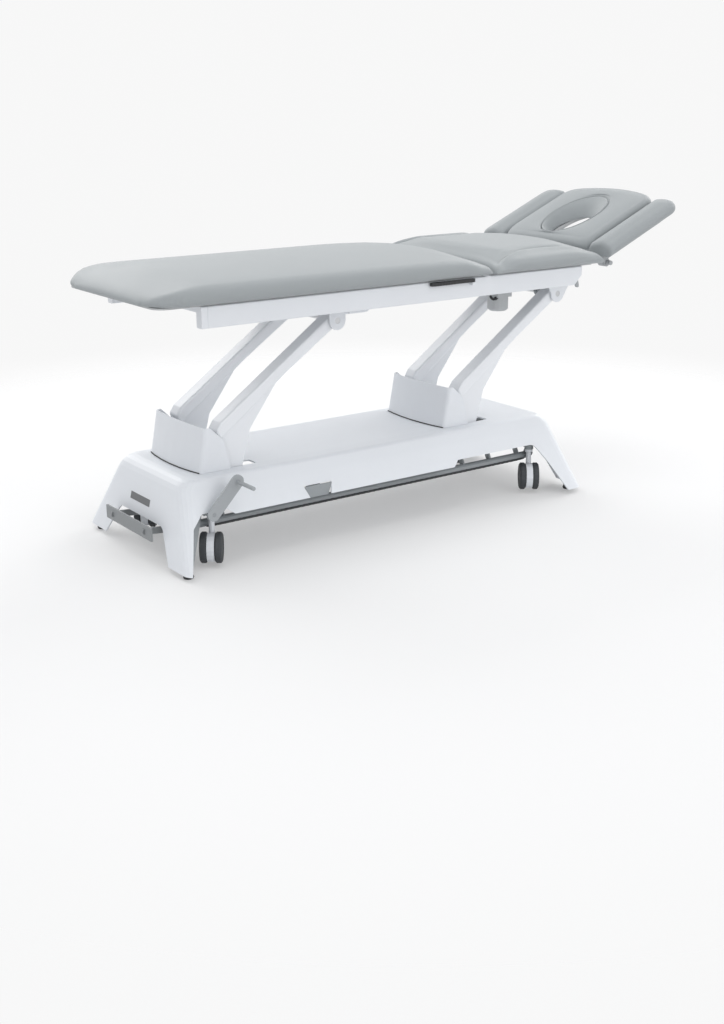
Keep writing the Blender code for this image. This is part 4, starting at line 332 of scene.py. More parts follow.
treadGrey = coated("treadGrey", (0.050, 0.055, 0.060), 0.58, 500.0, 0.5, 0.12)
# near-black for the painted shade strips under the column covers and the foot bars
paintedShadeBlack = coated("paintedShadeBlack", (0.045, 0.047, 0.050), 0.65, 900.0, 0.5, 0.10)
threadGrey = coated("threadGrey", (0.330, 0.345, 0.352), 0.70, 1600.0, 0.8, 0.08)

finishes = [
    # a finish, and how the names of the nodes that get it start
    (whitePaint, ("rail_", "cross_", "leg_frame")),
    # arms: white paint made lighter as painted light
    (paintedLightArmWhite, ("arm_",)),
    # head frame and wing arms: white paint darkened as painted shade
    (paintedShadeWhite, ("head_frame", "wing_arm")),
    (whiteMoulding, ("base_shell", "column_cover", "control_box", "castor_left", "castor_right")),
    (boardFacing, ("leg_board", "middle_board", "head_board")),
    (greyPaint, ("chassis", "lift_crank", "lift_tube", "locking_quadrant", "foot_bar", "carrier_")),
    (leverPaint, ("castor_lever", "head_latch")),
    (pedalPaint, ("end_pedal",)),
    (motorGrey, ("lift_motor",)),
    (groundSteel, ("lower_shaft", "upper_shaft", "lift_rod", "gas_rod")),
    (darkPlastic, ("release_handle", "foot_left", "foot_right", "gas_cylinder")),
    (plateGrey, ("blank_end_plate",)),
    (treadGrey, ("wheels_",)),
    (cushionLeatherette, ("leg_cushion", "middle_cushion", "head_cushion", "wing_cushion")),
]
for nodeName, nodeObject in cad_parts.items():
    chosen = [(len(start), index) for index, (_, starts) in enumerate(finishes) for start in starts
              if nodeName.startswith(start)]
    finish = finishes[max(chosen)[1]][0]
    nodeObject.data.materials.clear()
    nodeObject.data.materials.append(finish)
print("finishes given to the frame's nodes")


# Surfaces worked out on grids

def meshPiece(name, points, faces, finish, body):
    # A mesh from grid points and faces: doubles merged, normals outwards, smooth, riding on its body
    mesh = bpy.data.meshes.new(name)
    mesh.from_pydata(points.reshape(-1, 3).tolist(), [], faces)
    mesh.validate()
    made = bpy.data.objects.new(name, mesh)
    scene.collection.objects.link(made)
    shape = bmesh.new()
    shape.from_mesh(mesh)
    bmesh.ops.remove_doubles(shape, verts=shape.verts[:], dist=1e-6)
    bmesh.ops.recalc_face_normals(shape, faces=shape.faces[:])
    shape.to_mesh(mesh)
    shape.free()
    mesh.shade_smooth()
    mesh.materials.append(finish)
    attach(made, body)
    return made


def gridFaces(rows, columns, closeRows=False):
    # Quads between neighbouring grid points; the columns wrap round, and the rows where asked
    i, j = np.meshgrid(np.arange(rows if closeRows else rows - 1), np.arange(columns), indexing="ij")
    a = i * columns + j
    b = i * columns + (j + 1) % columns
    c = ((i + 1) % rows) * columns + (j + 1) % columns
    d = ((i + 1) % rows) * columns + j
    return np.stack([a, b, c, d], axis=-1).reshape(-1, 4).tolist()


def capped(rows, columns):
    # Side quads and the two end faces of a grid that is closed round its columns
    last = (rows - 1) * columns
    return gridFaces(rows, columns) + [list(range(columns))[::-1], list(range(last, last + columns))]


def loftPiece(name, points, finish, body):
    # A closed piece from rows of points, one row for each cross-section
    return meshPiece(name, points, capped(*points.shape[:2]), finish, body)


def eased(value, start, end):
    # Smooth step from 0 at start to 1 at end
    share = np.clip((value - start) / (end - start), 0.0, 1.0)
    return share * share * (3.0 - 2.0 * share)


def moved(points):
    # From the drawing frame to the part's frame
    return points + np.array(shift)


def unit(vectors):
    return vectors / np.linalg.norm(vectors, axis=1, keepdims=True)


def headings(path):
    # Which way a path runs at each of its points
    return unit(np.gradient(path, axis=0))


def carried(path, profile):
    # A closed profile carried along a path: at each path point the profile's first number is
    # measured across the path, level, and its second square to both
    ahead = headings(path)
    across = unit(np.cross(ahead, (0.0, 0.0, 1.0)))
    square = np.cross(across, ahead)
    return path[:, None] + across[:, None] * profile[None, :, :1] + square[:, None] * profile[None, :, 1:]


def roundedRectangle(width, height, radius, steps=4):
    # Outline of a rectangle about its centre, with quarter circles at the corners
    angle = np.linspace(0.0, pi / 2, steps + 1)
    corners = []
    for turn, (x, y) in enumerate(((1, 1), (-1, 1), (-1, -1), (1, -1))):
        bend = angle + turn * pi / 2
        corners.append(np.stack([x * (width / 2 - radius) + radius * np.cos(bend),
                                 y * (height / 2 - radius) + radius * np.sin(bend)], axis=-1))
    return np.concatenate(corners)


# Cloth: a pad is remeshed, swells under pressure, and its seams are pressed in afterwards

def meshPoints(mesh):
    flat = np.empty(len(mesh.vertices) * 3)
    mesh.vertices.foreach_get("co", flat)
    return flat.reshape(-1, 3)


def setPoints(mesh, points):
    mesh.vertices.foreach_set("co", points.reshape(-1))
    mesh.update()


def bakeModifiers(made):
    # The evaluated shape becomes the object's own mesh
    graph = bpy.context.evaluated_depsgraph_get()
    fresh = bpy.data.meshes.new_from_object(made.evaluated_get(graph), depsgraph=graph)
    made.modifiers.clear()
    made.data = fresh


def smoothed(mesh, points, rounds, strength, weight):
    # Each point moves part of the way to the mean of its neighbours, as often as asked
    edges = np.empty(len(mesh.edges) * 2, int)
    mesh.edges.foreach_get("vertices", edges)
    first, second = edges.reshape(-1, 2).T
    count = np.bincount(np.concatenate([first, second]), minlength=len(points))[:, None]
    for _ in range(rounds):
        total = np.zeros_like(points)
        for column in range(3):
            total[:, column] = np.bincount(first, points[second, column], len(points))
            total[:, column] += np.bincount(second, points[first, column], len(points))
        points = points + (total / np.maximum(count, 1) - points) * strength * weight[:, None]
    return points


cloth = {"frames": 20, "pressure": 4.0, "stiffness": 12.0, "bending": 0.6, "mass": 0.30, "quality": 4,
         "heldBelow": 0.02, "evenRounds": 60, "evenStrength": 0.6, "softRounds": (3, 2), "softStrength": 0.5}


def swollen(made, voxel, cap, freedom):
    # freedom gives, for each point, how far it may move: 0 where the pad rests on its board
    remesh = made.modifiers.new("remesh", "REMESH")
    remesh.mode = "VOXEL"
    remesh.voxel_size = voxel
    bakeModifiers(made)
    mesh = made.data
    start = meshPoints(mesh)
    free = freedom(start)
    loosePart = np.where(free > cloth["heldBelow"], 1.0, 0.0)
    before, after = cloth["softRounds"]
    start = smoothed(mesh, start, before, cloth["softStrength"], loosePart)
    setPoints(mesh, start)
    held = made.vertex_groups.new(name="held")
    held.add(np.flatnonzero(free < cloth["heldBelow"]).tolist(), 1.0, "REPLACE")
    softener = made.modifiers.new("cloth", "CLOTH")
    settings = softener.settings
    settings.vertex_group_mass = "held"
    settings.quality = cloth["quality"]
    settings.mass = cloth["mass"]
    settings.tension_stiffness = cloth["stiffness"]
    settings.compression_stiffness = cloth["stiffness"]
    settings.shear_stiffness = cloth["stiffness"] / 2
    settings.bending_stiffness = cloth["bending"]
    settings.use_pressure = True
    settings.uniform_pressure_force = cloth["pressure"]
    settings.effector_weights.gravity = 0.0
    softener.collision_settings.use_collision = False
    softener.collision_settings.use_self_collision = False
    softener.point_cache.frame_start = 1
    softener.point_cache.frame_end = cloth["frames"]
    for number in range(1, cloth["frames"] + 1):
        scene.frame_set(number)
    graph = bpy.context.evaluated_depsgraph_get()
    loose = made.evaluated_get(graph).to_mesh()
    # the step is evened out over the pad, so that the cloth's wrinkles don't stay
    step = smoothed(mesh, meshPoints(loose) - start, cloth["evenRounds"], cloth["evenStrength"],
                    np.ones(len(start)))
    made.modifiers.clear()
    made.vertex_groups.clear()
    reach = np.linalg.norm(step, axis=1, keepdims=True)
    step *= np.tanh(reach / cap) * cap / np.maximum(reach, 1e-9) * free[:, None]
    print(made.name, "swells by up to", round(float(np.linalg.norm(step, axis=1).max()) * 1000, 1), "mm")
    start = start + step
    scene.frame_set(1)
    setPoints(mesh, smoothed(mesh, start, after, cloth["softStrength"], loosePart))
    mesh.shade_smooth()


def pressed(made, height):
    # Seams and folds: each point of the top moves down by what height gives at its place
    mesh = made.data
    points = meshPoints(mesh)
    normals = np.empty(len(mesh.vertices) * 3)
    mesh.vertices.foreach_get("normal", normals)
    upward = eased(normals.reshape(-1, 3)[:, 2], 0.0, 0.6)
    points[:, 2] -= height(points - np.array(shift)) * upward
    setPoints(mesh, points)


def finer(made):
    # One level of subdivision, the same in the view and in the render
    subdivision = made.modifiers.new("finer", "SUBSURF")
    subdivision.levels = 1
    subdivision.render_levels = 1


# Cushions

def cornerHalf(half, radius, distance):
    # Half width of a pad near its end: straight, then a quarter circle of the given radius
    inside = np.clip(radius - distance, 0.0, radius)
    return half - radius + np.sqrt(radius ** 2 - inside ** 2)


def noseDrop(distance, nose):
    # How far a rounded end lies below the flat top at a distance from the end
    inside = np.clip(nose - distance, 0.0, nose)
    return nose - np.sqrt(nose ** 2 - inside ** 2)


def padStations(length, startNose, endNose, startCorner, endCorner, middleCount):
    # Distances along a pad, packed at the rounded ends
    angles = np.linspace(0.0, pi / 2, 9)
    start = np.concatenate([startNose * (1 - np.cos(angles)), startCorner * (1 - np.cos(angles[1:]))])
    end = np.concatenate([endNose * (1 - np.cos(angles)), endCorner * (1 - np.cos(angles[1:]))])
    middle = np.linspace(max(startNose, startCorner), length - max(endNose, endCorner), middleCount)
    values = np.unique(np.round(np.concatenate([start, middle, length - end]), 5))
    keep = np.concatenate([[True], np.diff(values) > 0.0004])
    keep[-1] = True
    return values[keep]


def padSections(half, low, top, crown, radius, lowerInset):
    # Cross-sections of a cushion, one per row: flat below, drawn-in lower side, bulging wall,
    # round shoulder, crowned top
    half, low, top, crown, radius = [np.broadcast_to(value, half.shape)[:, None] for value in
                                     (half, low, top, crown, radius)]
    tall = top - low
    lower = np.array([0.0, 0.5, 0.9])[None, :]
    underY = (half - lowerInset) * lower
    underZ = low + 0.0 * underY
    t = np.linspace(0.0, 1.0, 7)[None, :]
    wallY = half - lowerInset * (1 - t) ** upholstery["wallCurve"]
    wallZ = low + (tall - radius) * t
    a = np.linspace(0.0, pi / 2, 10)[None, 1:]
    shoulderY = half - radius + radius * np.cos(a)
    shoulderZ = top - radius + radius * np.sin(a)
    share = np.linspace(1.0, 0.0, 26)[None, 1:]
    topY = (half - radius) * share
    topZ = top + crown * (1 - share ** 2)
    y = np.concatenate([underY, wallY, shoulderY, topY], axis=1)
    z = np.concatenate([underZ, wallZ, shoulderZ, topZ], axis=1)
    y = np.concatenate([y, -y[:, -2:0:-1]], axis=1)
    z = np.concatenate([z, z[:, -2:0:-1]], axis=1)
    return y, z


upholstery = {
    "low": 0.7950, "thickness": 0.053, "halfWidth": 0.333, "crown": 0.015, "edgeRadius": 0.028,
    "lowerInset": 0.024, "hingeZ": 0.776, "seamTilt": radians(10.0), "seamX": 0.360, "seamGap": 0.0015,
    "seamFade": 0.060, "seamDip": 0.012, "seamDipLength": 0.110, "pinch": 0.018,
    "voxel": 0.0075, "swell": 0.005, "seamHold": 0.012, "freeHeight": (0.003, 0.026), "endReach": 0.035,
    "endShare": 0.15, "wallCurve": 2.2, "seamCrown": (-0.030, 0.060), "flattest": 0.8,
}


def seamLean(z, distance):
    # How far a pad's end stands back from the hinge plane, fading away from the seam
    lean = (z - upholstery["hingeZ"]) * tan(upholstery["seamTilt"]) + upholstery["seamGap"]
    return lean * (1 - eased(distance, 0.0, upholstery["seamFade"]))


def pinched(y, z, depth):
    # The corners at a seam are pulled down: only near the side edges, and more towards the top
    u = upholstery
    return z - depth * (np.abs(y) / u["halfWidth"]) ** 4 * (z - u["low"]) / u["thickness"]


def flatFreedom(startX, endX):
    # A flat pad moves freely on its top and sides, and not on its board or against its neighbour
    def freedom(points):
        u = upholstery
        x, z = points[:, 0] - shift[0], points[:, 2]
        ends = eased(np.minimum(x - startX, endX - x), 0.0, u["endReach"])
        lowest, freest = u["freeHeight"]
        return eased(z, u["low"] + lowest, u["low"] + freest) * (u["endShare"] + (1 - u["endShare"]) * ends)
    return freedom


legPad = {"footX": -0.852, "noseLength": 0.145, "noseDrop": 0.042, "corner": 0.100, "seamNose": 0.014,
          "footBow": 0.012, "footCrown": 0.180}


def legCushion():
    # Cross-sections along the pad: at the foot end the top falls in an elliptic nose and the corners
    # are round; at the seam the end leans back by its height, and its top and corners are drawn down
    u, p = upholstery, legPad
    length = u["seamX"] - p["footX"]
    along = padStations(length, p["noseLength"], p["seamNose"], p["corner"], 0.0, 60)
    fromSeam = length - along
    half = cornerHalf(u["halfWidth"], p["corner"], along)
    dip = u["seamDip"] * (1 - eased(fromSeam, 0.0, u["seamDipLength"]))
    foot = noseDrop(along, p["noseLength"]) * p["noseDrop"] / p["noseLength"]
    top = u["low"] + u["thickness"] - (foot + noseDrop(fromSeam, p["seamNose"]) + dip)
    crown = u["crown"] * eased(along, 0.0, p["footCrown"]) * eased(fromSeam, *u["seamCrown"])
    radius = np.minimum(u["edgeRadius"], (top - u["low"]) * u["flattest"])
    y, z = padSections(half, u["low"], top, crown, radius, u["lowerInset"])
    bow = p["footBow"] * (y / u["halfWidth"]) ** 2 * (1 - eased(along, 0.0, p["noseLength"] * 2))[:, None]
    x = p["footX"] + along[:, None] - seamLean(z, fromSeam[:, None]) + bow
    z = pinched(y, z, u["pinch"] * (1 - eased(fromSeam, 0.0, u["seamDipLength"]))[:, None])
    points = moved(np.stack([x, y, z], axis=-1))
    made = loftPiece("legCushion", points, cushionLeatherette, "leg_section")
    swollen(made, u["voxel"], u["swell"], flatFreedom(-np.inf, u["seamX"] - u["seamHold"]))
    finer(made)
    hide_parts("leg_cushion")


middlePad = {
    "headX": 0.866, "seamNose": 0.014, "headNose": 0.020, "corner": 0.010, "headPinch": 0.015,
    "headLean": 0.028, "leanHeight": 0.055, "headFade": 0.090, "headHold": 0.005,
    "headCrown": (-0.014, 0.070), "pinchReach": 1.4, "voxelShare": 0.75, "bowPower": 0.8, "foldPower": 0.6,
    "valleyY": 0.322, "valleyBow": 0.094, "valleyDepth": 0.0120, "innerWidth": 0.021, "outerWidth": 0.009,
    "stepDepth": 0.0050, "rollHeight": 0.0070, "rollWidth": 0.017, "rollPlace": 0.033,
}


def valleyLine(x):
    # Where the sewn valley runs: from the corner at the seam, inwards, and out to the head corner
    m = middlePad
    t = np.clip((x - upholstery["seamX"]) / (m["headX"] - upholstery["seamX"]), 0.0, 1.0)
    return m["valleyY"] - m["valleyBow"] * np.sin(pi * t) ** m["bowPower"], np.sin(pi * t)


def middleFolds(points):
    # The top slopes down to a valley along the line; beyond it lies a lower strip with a raised roll
    m = middlePad
    y = np.abs(points[:, 1])
    line, strength = valleyLine(points[:, 0])
    width = np.where(y < line, m["innerWidth"], m["outerWidth"])
    valley = np.exp(-((y - line) / width) ** 2) * m["valleyDepth"]
    step = eased(y, line - m["innerWidth"], line) * m["stepDepth"]
    rollLine = line + m["rollPlace"] * strength
    roll = np.exp(-((y - rollLine) / m["rollWidth"]) ** 2) * m["rollHeight"]
    return (valley + step - roll) * strength ** m["foldPower"]


def middleCushion():
    # The leg cushion's form turned round: dip and lean at the seam, and at the head end a small nose
    # and a face that leans back in proportion to its height
    u, m = upholstery, middlePad
    length = m["headX"] - u["seamX"]
    along = padStations(length, m["seamNose"], m["headNose"], 0.0, m["corner"], 46)
    fromHead = length - along
    half = cornerHalf(u["halfWidth"], m["corner"], fromHead)
    dip = u["seamDip"] * (1 - eased(along, 0.0, u["seamDipLength"]))
    top = u["low"] + u["thickness"] - noseDrop(along, m["seamNose"])
    top = top - noseDrop(fromHead, m["headNose"]) - dip
    crown = u["crown"] * eased(fromHead, *m["headCrown"]) * eased(along, *u["seamCrown"])
    radius = np.minimum(u["edgeRadius"], (top - u["low"]) * u["flattest"])
    y, z = padSections(half, u["low"], top, crown, radius, u["lowerInset"])
    back = (1 - eased(fromHead, 0.0, m["headFade"]))[:, None]
    lean = m["headLean"] * (z - u["low"]) / m["leanHeight"] * back
    x = u["seamX"] + along[:, None] + seamLean(z, along[:, None]) - lean
    z = pinched(y, z, u["pinch"] * (1 - eased(along, 0.0, u["seamDipLength"]))[:, None])
    headReach = u["seamDipLength"] * m["pinchReach"]
    z = pinched(y, z, m["headPinch"] * (1 - eased(fromHead, 0.0, headReach))[:, None])
    points = moved(np.stack([x, y, z], axis=-1))
    made = loftPiece("middleCushion", points, cushionLeatherette, "top")
    freedom = flatFreedom(u["seamX"] + u["seamHold"], m["headX"] - m["headHold"])
    swollen(made, u["voxel"] * m["voxelShare"], u["swell"], freedom)
    pressed(made, middleFolds)
    finer(made)
    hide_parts("middle_cushion")


headPlan = {
    "hinge": (0.872, 0.0, 0.776), "tilt": radians(23.0), "start": 0.020, "tip": 0.432, "startLean": 0.014,
    "half": 0.216, "low": 0.0288, "thickness": 0.050, "radius": 0.022, "bow": 0.038, "faceAlong": 0.205,
    "rim": (0.144, 0.104), "hole": (0.086, 0.078), "holeShift": -0.028, "lowerInset": 0.010, "dome": 0.006,
    "startPinch": 0.010, "pinchReach": 0.080, "cornerPower": 13.0, "domeRoom": 0.002, "domeReach": 0.8,
    "domePower": 0.8, "rays": 192, "gather": 0.10, "rimMargin": 0.94,
}


def headToWorld(s, y, n):
    # Along the head section, across it, and square to it, into the part's frame
    tilt = headPlan["tilt"]
    x = headPlan["hinge"][0] + s * cos(tilt) - n * sin(tilt)
    z = headPlan["hinge"][2] + s * sin(tilt) + n * cos(tilt)
    return moved(np.stack([x, y, z], axis=-1))


def headEdge(angle, inset, lean):
    # Distance from the face hole's centre to the pad's edge along each ray: the nearest of the
    # two sides, the start and the bowed tip, with the corners rounded by a soft minimum
    h = headPlan
    c, s = np.cos(angle), np.sin(angle)
    tiny = 1e-9
    side = (h["half"] - inset) / np.maximum(np.abs(s), tiny)
    reach = h["tip"] - inset - h["faceAlong"]
    front = reach / np.maximum(c, tiny)
    for _ in range(6):
        # the tip's bow depends on where the ray meets it
        across = np.minimum(np.abs(front * s), h["half"])
        front = (reach - h["bow"] * (across / h["half"]) ** 2) / np.maximum(c, tiny)
    start = (h["faceAlong"] - h["start"] - inset - lean) / np.maximum(-c, tiny)
    far = 1e3
    front = np.where(c > 1e-6, np.minimum(front, far), far)
    start = np.where(c < -1e-6, np.minimum(start, far), far)
    power = h["cornerPower"]
    return (side ** -power + front ** -power + start ** -power) ** (-1.0 / power)


def headCushion():
    # Rings round the face hole, from the underside up the wall, round the shoulder, over the domed
    # top, through the groove and down the funnel: each ring lies a share of the way between two of
    # the pad's edge, the oval rim and the oval hole, at one height
    h = headPlan
    count = h["rays"]
    angle = np.linspace(0.0, 2 * pi, count, endpoint=False)
    # the rays are gathered towards the four corners
    angle = angle - h["gather"] * np.sin(4 * angle)
    c, s = np.cos(angle), np.sin(angle)

    def oval(sizes, offset=0.0):
        # Distance from the face hole's centre to an ellipse whose own centre is moved along the pad
        a, b = sizes
        square = (c / a) ** 2 + (s / b) ** 2
        half = c * offset / a ** 2
        return (half + np.sqrt(half ** 2 - square * ((offset / a) ** 2 - 1))) / square

    def outer(inset, height):
        return headEdge(angle, inset, h["startLean"] * (height - h["low"]) / h["thickness"])

    low, tall, r = h["low"], h["thickness"] - h["domeRoom"], h["radius"]
    top = low + tall
    rim, hole = oval(h["rim"]), oval(h["hole"], h["holeShift"])
    rows = [(outer(h["lowerInset"], low), low)]
    for t in np.linspace(0.15, 1.0, 6):
        height = low + (tall - r) * t
        rows.append((outer(h["lowerInset"] * (1 - t) ** upholstery["wallCurve"], height), height))
    for a in np.linspace(0.0, pi / 2, 9)[1:]:
        height = top - r + r * sin(a)
        rows.append((outer(r * (1 - cos(a)), height), height))
    edge = rows[-1][0]

    def dome(share):
        return h["dome"] * sin(pi * share * h["domeReach"]) ** h["domePower"]

    for t in np.linspace(0.0, 1.0, 14)[1:-1]:
        rows.append((edge + (rim - edge) * (t * h["rimMargin"]), top + dome(t)))
    last = dome(1.0)
    profile = (
        # share of the way from the rim to the hole, height against the flat top
        (-0.16, last), (-0.11, last - 0.0005), (-0.06, last - 0.0026), (-0.02, last - 0.0074),
        (0.0, last - 0.0090), (0.02, last - 0.0078), (0.06, last - 0.0030), (0.10, last - 0.0004),
        (0.15, last + 0.0008), (0.22, 0.0018), (0.34, -0.0015), (0.46, -0.0062), (0.58, -0.0120),
        (0.70, -0.0190), (0.81, -0.0262), (0.90, -0.0325), (0.96, -0.0375), (1.0, -0.0405),
        (1.0, -0.0430), (0.97, -0.0462), (0.90, -0.0480),
    )
    for share, height in profile:
        rows.append((rim + (hole - rim) * share, top + height))
    rows.append((hole + (outer(h["lowerInset"], low) - hole) * 0.5, low))
    radius = np.stack([row[0] for row in rows])
    height = np.stack([np.full(count, row[1]) for row in rows])
    y = radius * s
    along = h["faceAlong"] + radius * c
    # the corners at the hinge are drawn down
    near = 1 - eased(along - h["start"], 0.0, h["pinchReach"])
    pinch = h["startPinch"] * near * (np.abs(y) / h["half"]) ** 4
    height = height - pinch * np.clip((height - low) / tall, 0.0, 1.0)
    faces = gridFaces(len(rows), count, closeRows=True)
    points = headToWorld(along, y, height)
    made = meshPiece("headCushion", points, faces, cushionLeatherette, "head_section")
    finer(made)
    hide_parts("head_cushion")


wingPlan = {
    "innerY": 0.2225, "outerY": 0.3335, "low": 0.0308, "thickness": 0.041, "start": 0.021, "tip": 0.396,
    "nose": 0.024, "corner": 0.050, "crown": 0.007, "tipCrown": 0.060, "swell": 0.003, "voxel": 0.0045,
    "lowerInset": 0.010, "freeHeight": (0.003, 0.022),
}


def wingFreedom(points):
    # Height square to the head section decides how far a point may move
    tilt = headPlan["tilt"]
    place = points - np.array(shift) - np.array(headPlan["hinge"])
    n = -place[:, 0] * sin(tilt) + place[:, 2] * cos(tilt)
    lowest, freest = wingPlan["freeHeight"]
    return eased(n, wingPlan["low"] + lowest, wingPlan["low"] + freest)


def wingCushion(name, body, node, side):
    # Cross-sections along the tilted head section: the two sides have corners of different radii
    # at the tip, so the middle line moves over as the width shrinks
    w = wingPlan
    length = w["tip"] - w["start"]
    along = padStations(length, w["nose"] / 2, w["nose"], 0.0, w["corner"], 34)
    fromTip = length - along
    full = (w["outerY"] - w["innerY"]) / 2
    centre = (w["outerY"] + w["innerY"]) / 2
    outer = cornerHalf(full, w["corner"], fromTip)
    inner = cornerHalf(full, w["corner"] / 3, fromTip)
    half = (outer + inner) / 2
    middle = centre + (outer - inner) / 2
    top = w["low"] + w["thickness"] - noseDrop(fromTip, w["nose"]) - noseDrop(along, w["nose"] / 2)
    crown = w["crown"] * eased(fromTip, 0.0, w["tipCrown"])
    radius = np.minimum(w["nose"], (top - w["low"]) * upholstery["flattest"])
    y, n = padSections(half, w["low"], top, crown, radius, w["lowerInset"])
    back = (1 - eased(along, 0.0, upholstery["seamFade"]))[:, None]
    s = w["start"] + along[:, None] + headPlan["startLean"] * (n - w["low"]) / w["thickness"] * back
    points = headToWorld(s, side * (middle[:, None] + y), n)
    made = loftPiece(name, points, cushionLeatherette, body)
    swollen(made, w["voxel"], w["swell"], wingFreedom)
    finer(made)
    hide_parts(node)


legCushion()
middleCushion()
headCushion()
wingCushion("wingCushionNear", "wing_near", "wing_cushion_near", -1)
wingCushion("wingCushionFar", "wing_far", "wing_cushion_far", 1)
print("cushions made")


# Small pieces on the frame

# the painted shade strips at the feet of the column covers
coverShadePlan = {"width": 0.1585, "back": -0.118, "bow": 0.018, "proud": 0.0022, "height": 0.0034, "deckZ": 0.2653,
          "cornerGap": 0.004, "sunk": 0.35, "rounding": 0.4, "pivots": {"left": -0.530, "right": 0.415}}


def coverFootShade(name, pivotX):
    # Painted shade: a dark strip for the shadowed gap where a column cover's bowed wall stands on the deck:
    # along the wall, and a little way round its two corners
    g = coverShadePlan
    shares = np.array([-0.72, -0.36, 0.0, 0.36, 0.72])
    corner = g["width"] - g["cornerGap"]
    y = np.concatenate([[-corner], shares * g["width"], [corner]])
    x = g["back"] - g["bow"] * (1 - np.concatenate([[1.0], shares, [1.0]]) ** 2)
    fine = np.linspace(y[0], y[-1], 41)
    x = np.interp(fine, y, x) - g["proud"] * g["sunk"]
    path = np.stack([pivotX + x, fine, np.full_like(fine, g["deckZ"] + g["height"] / 2)], axis=-1)
    profile = roundedRectangle(g["proud"], g["height"], g["proud"] * g["rounding"])
    loftPiece(name, moved(carried(path, profile)), paintedShadeBlack, "base")


# the painted shade strip on each foot bar
strip = {"centre": 0.180, "barZ": 0.120, "barRadius": 0.0125, "halfLength": 0.650, "angle": radians(-52.0),
         "width": 0.013, "height": 0.0050, "sunk": 0.18, "ribDepth": 0.07, "endPower": 40, "rounding": 0.4}


def footBarShadeStrip(name, body, side):
    # Painted shade: a dark strip on the lower outer face of a foot bar, for the shadow line under it, with
    # fine ribs along it
    p = strip
    x = np.linspace(-p["halfLength"], p["halfLength"], 241)
    out = p["barRadius"] + p["height"] * p["sunk"]
    y = side * (p["centre"] + out * cos(p["angle"])) + 0.0 * x
    z = p["barZ"] + out * sin(p["angle"]) + 0.0 * x
    rib = 1.0 + p["ribDepth"] * np.sin(np.arange(len(x)) * pi / 2)
    fade = np.sqrt(np.clip(1 - (np.abs(x) / p["halfLength"]) ** p["endPower"], 0.02, 1))
    profile = roundedRectangle(p["width"], p["height"], p["height"] * p["rounding"])
    flat, tall = profile[:, 0], profile[:, 1]
    scale = (rib * fade)[:, None]
    acrossY = side * (tall * cos(p["angle"]) - flat * sin(p["angle"]))
    acrossZ = tall * sin(p["angle"]) + flat * cos(p["angle"])
    points = np.stack([np.broadcast_to(x[:, None], (len(x), len(profile))),
                       y[:, None] + scale * acrossY[None, :], z[:, None] + scale * acrossZ[None, :]], axis=-1)
    loftPiece(name, moved(points), paintedShadeBlack, body)


grip = {"x": (0.116, 0.215), "y": -0.305, "z": 0.7832, "width": 0.0150, "height": 0.0120, "ribs": 9,
        "ribDepth": 0.08, "ribShare": 0.8, "endPower": 12, "endSize": 0.1, "rounding": 0.35}


def handleGrip():
    # Moulded finger grip over the outer half of the release handle: swollen, with shallow ribs
    g = grip
    x = np.linspace(*g["x"], 91)
    t = np.linspace(0.0, 1.0, len(x))
    outward = np.abs(2 * t - 1)
    ends = np.sqrt(np.clip(1 - outward ** g["endPower"], 0.0, 1.0)) * (1 - g["endSize"]) + g["endSize"]
    swell = ends * (1.0 + g["ribDepth"] * np.cos(2 * pi * g["ribs"] * t) * (outward < g["ribShare"]))
    profile = roundedRectangle(g["width"], g["height"], g["height"] * g["rounding"], 5)
    points = np.stack([np.broadcast_to(x[:, None], (len(x), len(profile))),
                       g["y"] + swell[:, None] * profile[None, :, 0],
                       g["z"] + swell[:, None] * profile[None, :, 1]], axis=-1)
    loftPiece("handleGrip", moved(points), darkPlastic, "release_handle")


plug = {"along": (0.006, -0.006, -0.017, -0.027, -0.034), "down": (0.060, 0.070, 0.073, 0.068, 0.058),
        "width": 0.0090, "collar": 1.35, "collarPlace": (0.16, 0.34), "inset": 0.012, "endPower": 14,
        "sides": 20}


def motorPlug():
    # Angled plug on the lift motor's flank: a round body that bends up, thicker at its collar
    low, high = [np.array(corner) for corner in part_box("lift_motor")]
    t = np.linspace(0.0, 1.0, 25)
    knots = np.linspace(0.0, 1.0, len(plug["along"]))
    x = low[0] + plug["inset"] + np.interp(t, knots, plug["along"])
    z = high[2] - np.interp(t, knots, plug["down"])
    path = np.stack([x, np.full_like(t, low[1] + plug["inset"]), z], axis=-1)
    path[1:-1] = (path[:-2] + 2 * path[1:-1] + path[2:]) / 4
    ahead = headings(path)
    across = np.array([0.0, 1.0, 0.0])
    square = np.cross(ahead, across)
    angle = np.linspace(0.0, 2 * pi, plug["sides"], endpoint=False)
    start, end = plug["collarPlace"]
    collar = 1.0 + (plug["collar"] - 1.0) * ((t > start) & (t < end))
    ends = np.sqrt(np.clip(1 - np.abs(2 * t - 1) ** plug["endPower"], 0.05, 1.0))
    radius = (plug["width"] / 2 * collar * ends)[:, None, None]
    ring = across * np.cos(angle)[:, None] + square[:, None] * np.sin(angle)[None, :, None]
    loftPiece("motorPlug", path[:, None] + radius * ring, darkPlastic, "top")


# castFrom: how high above the middle and the head cushion the rays that place the thread start
stitch = {"length": 0.0042, "pitch": 0.0065, "radius": 0.00045, "sides": 6, "proud": 0.00035,
          "offset": 0.0032, "rimOffset": 0.0045, "seamMargin": 0.05, "castFrom": (1.2, 0.30)}


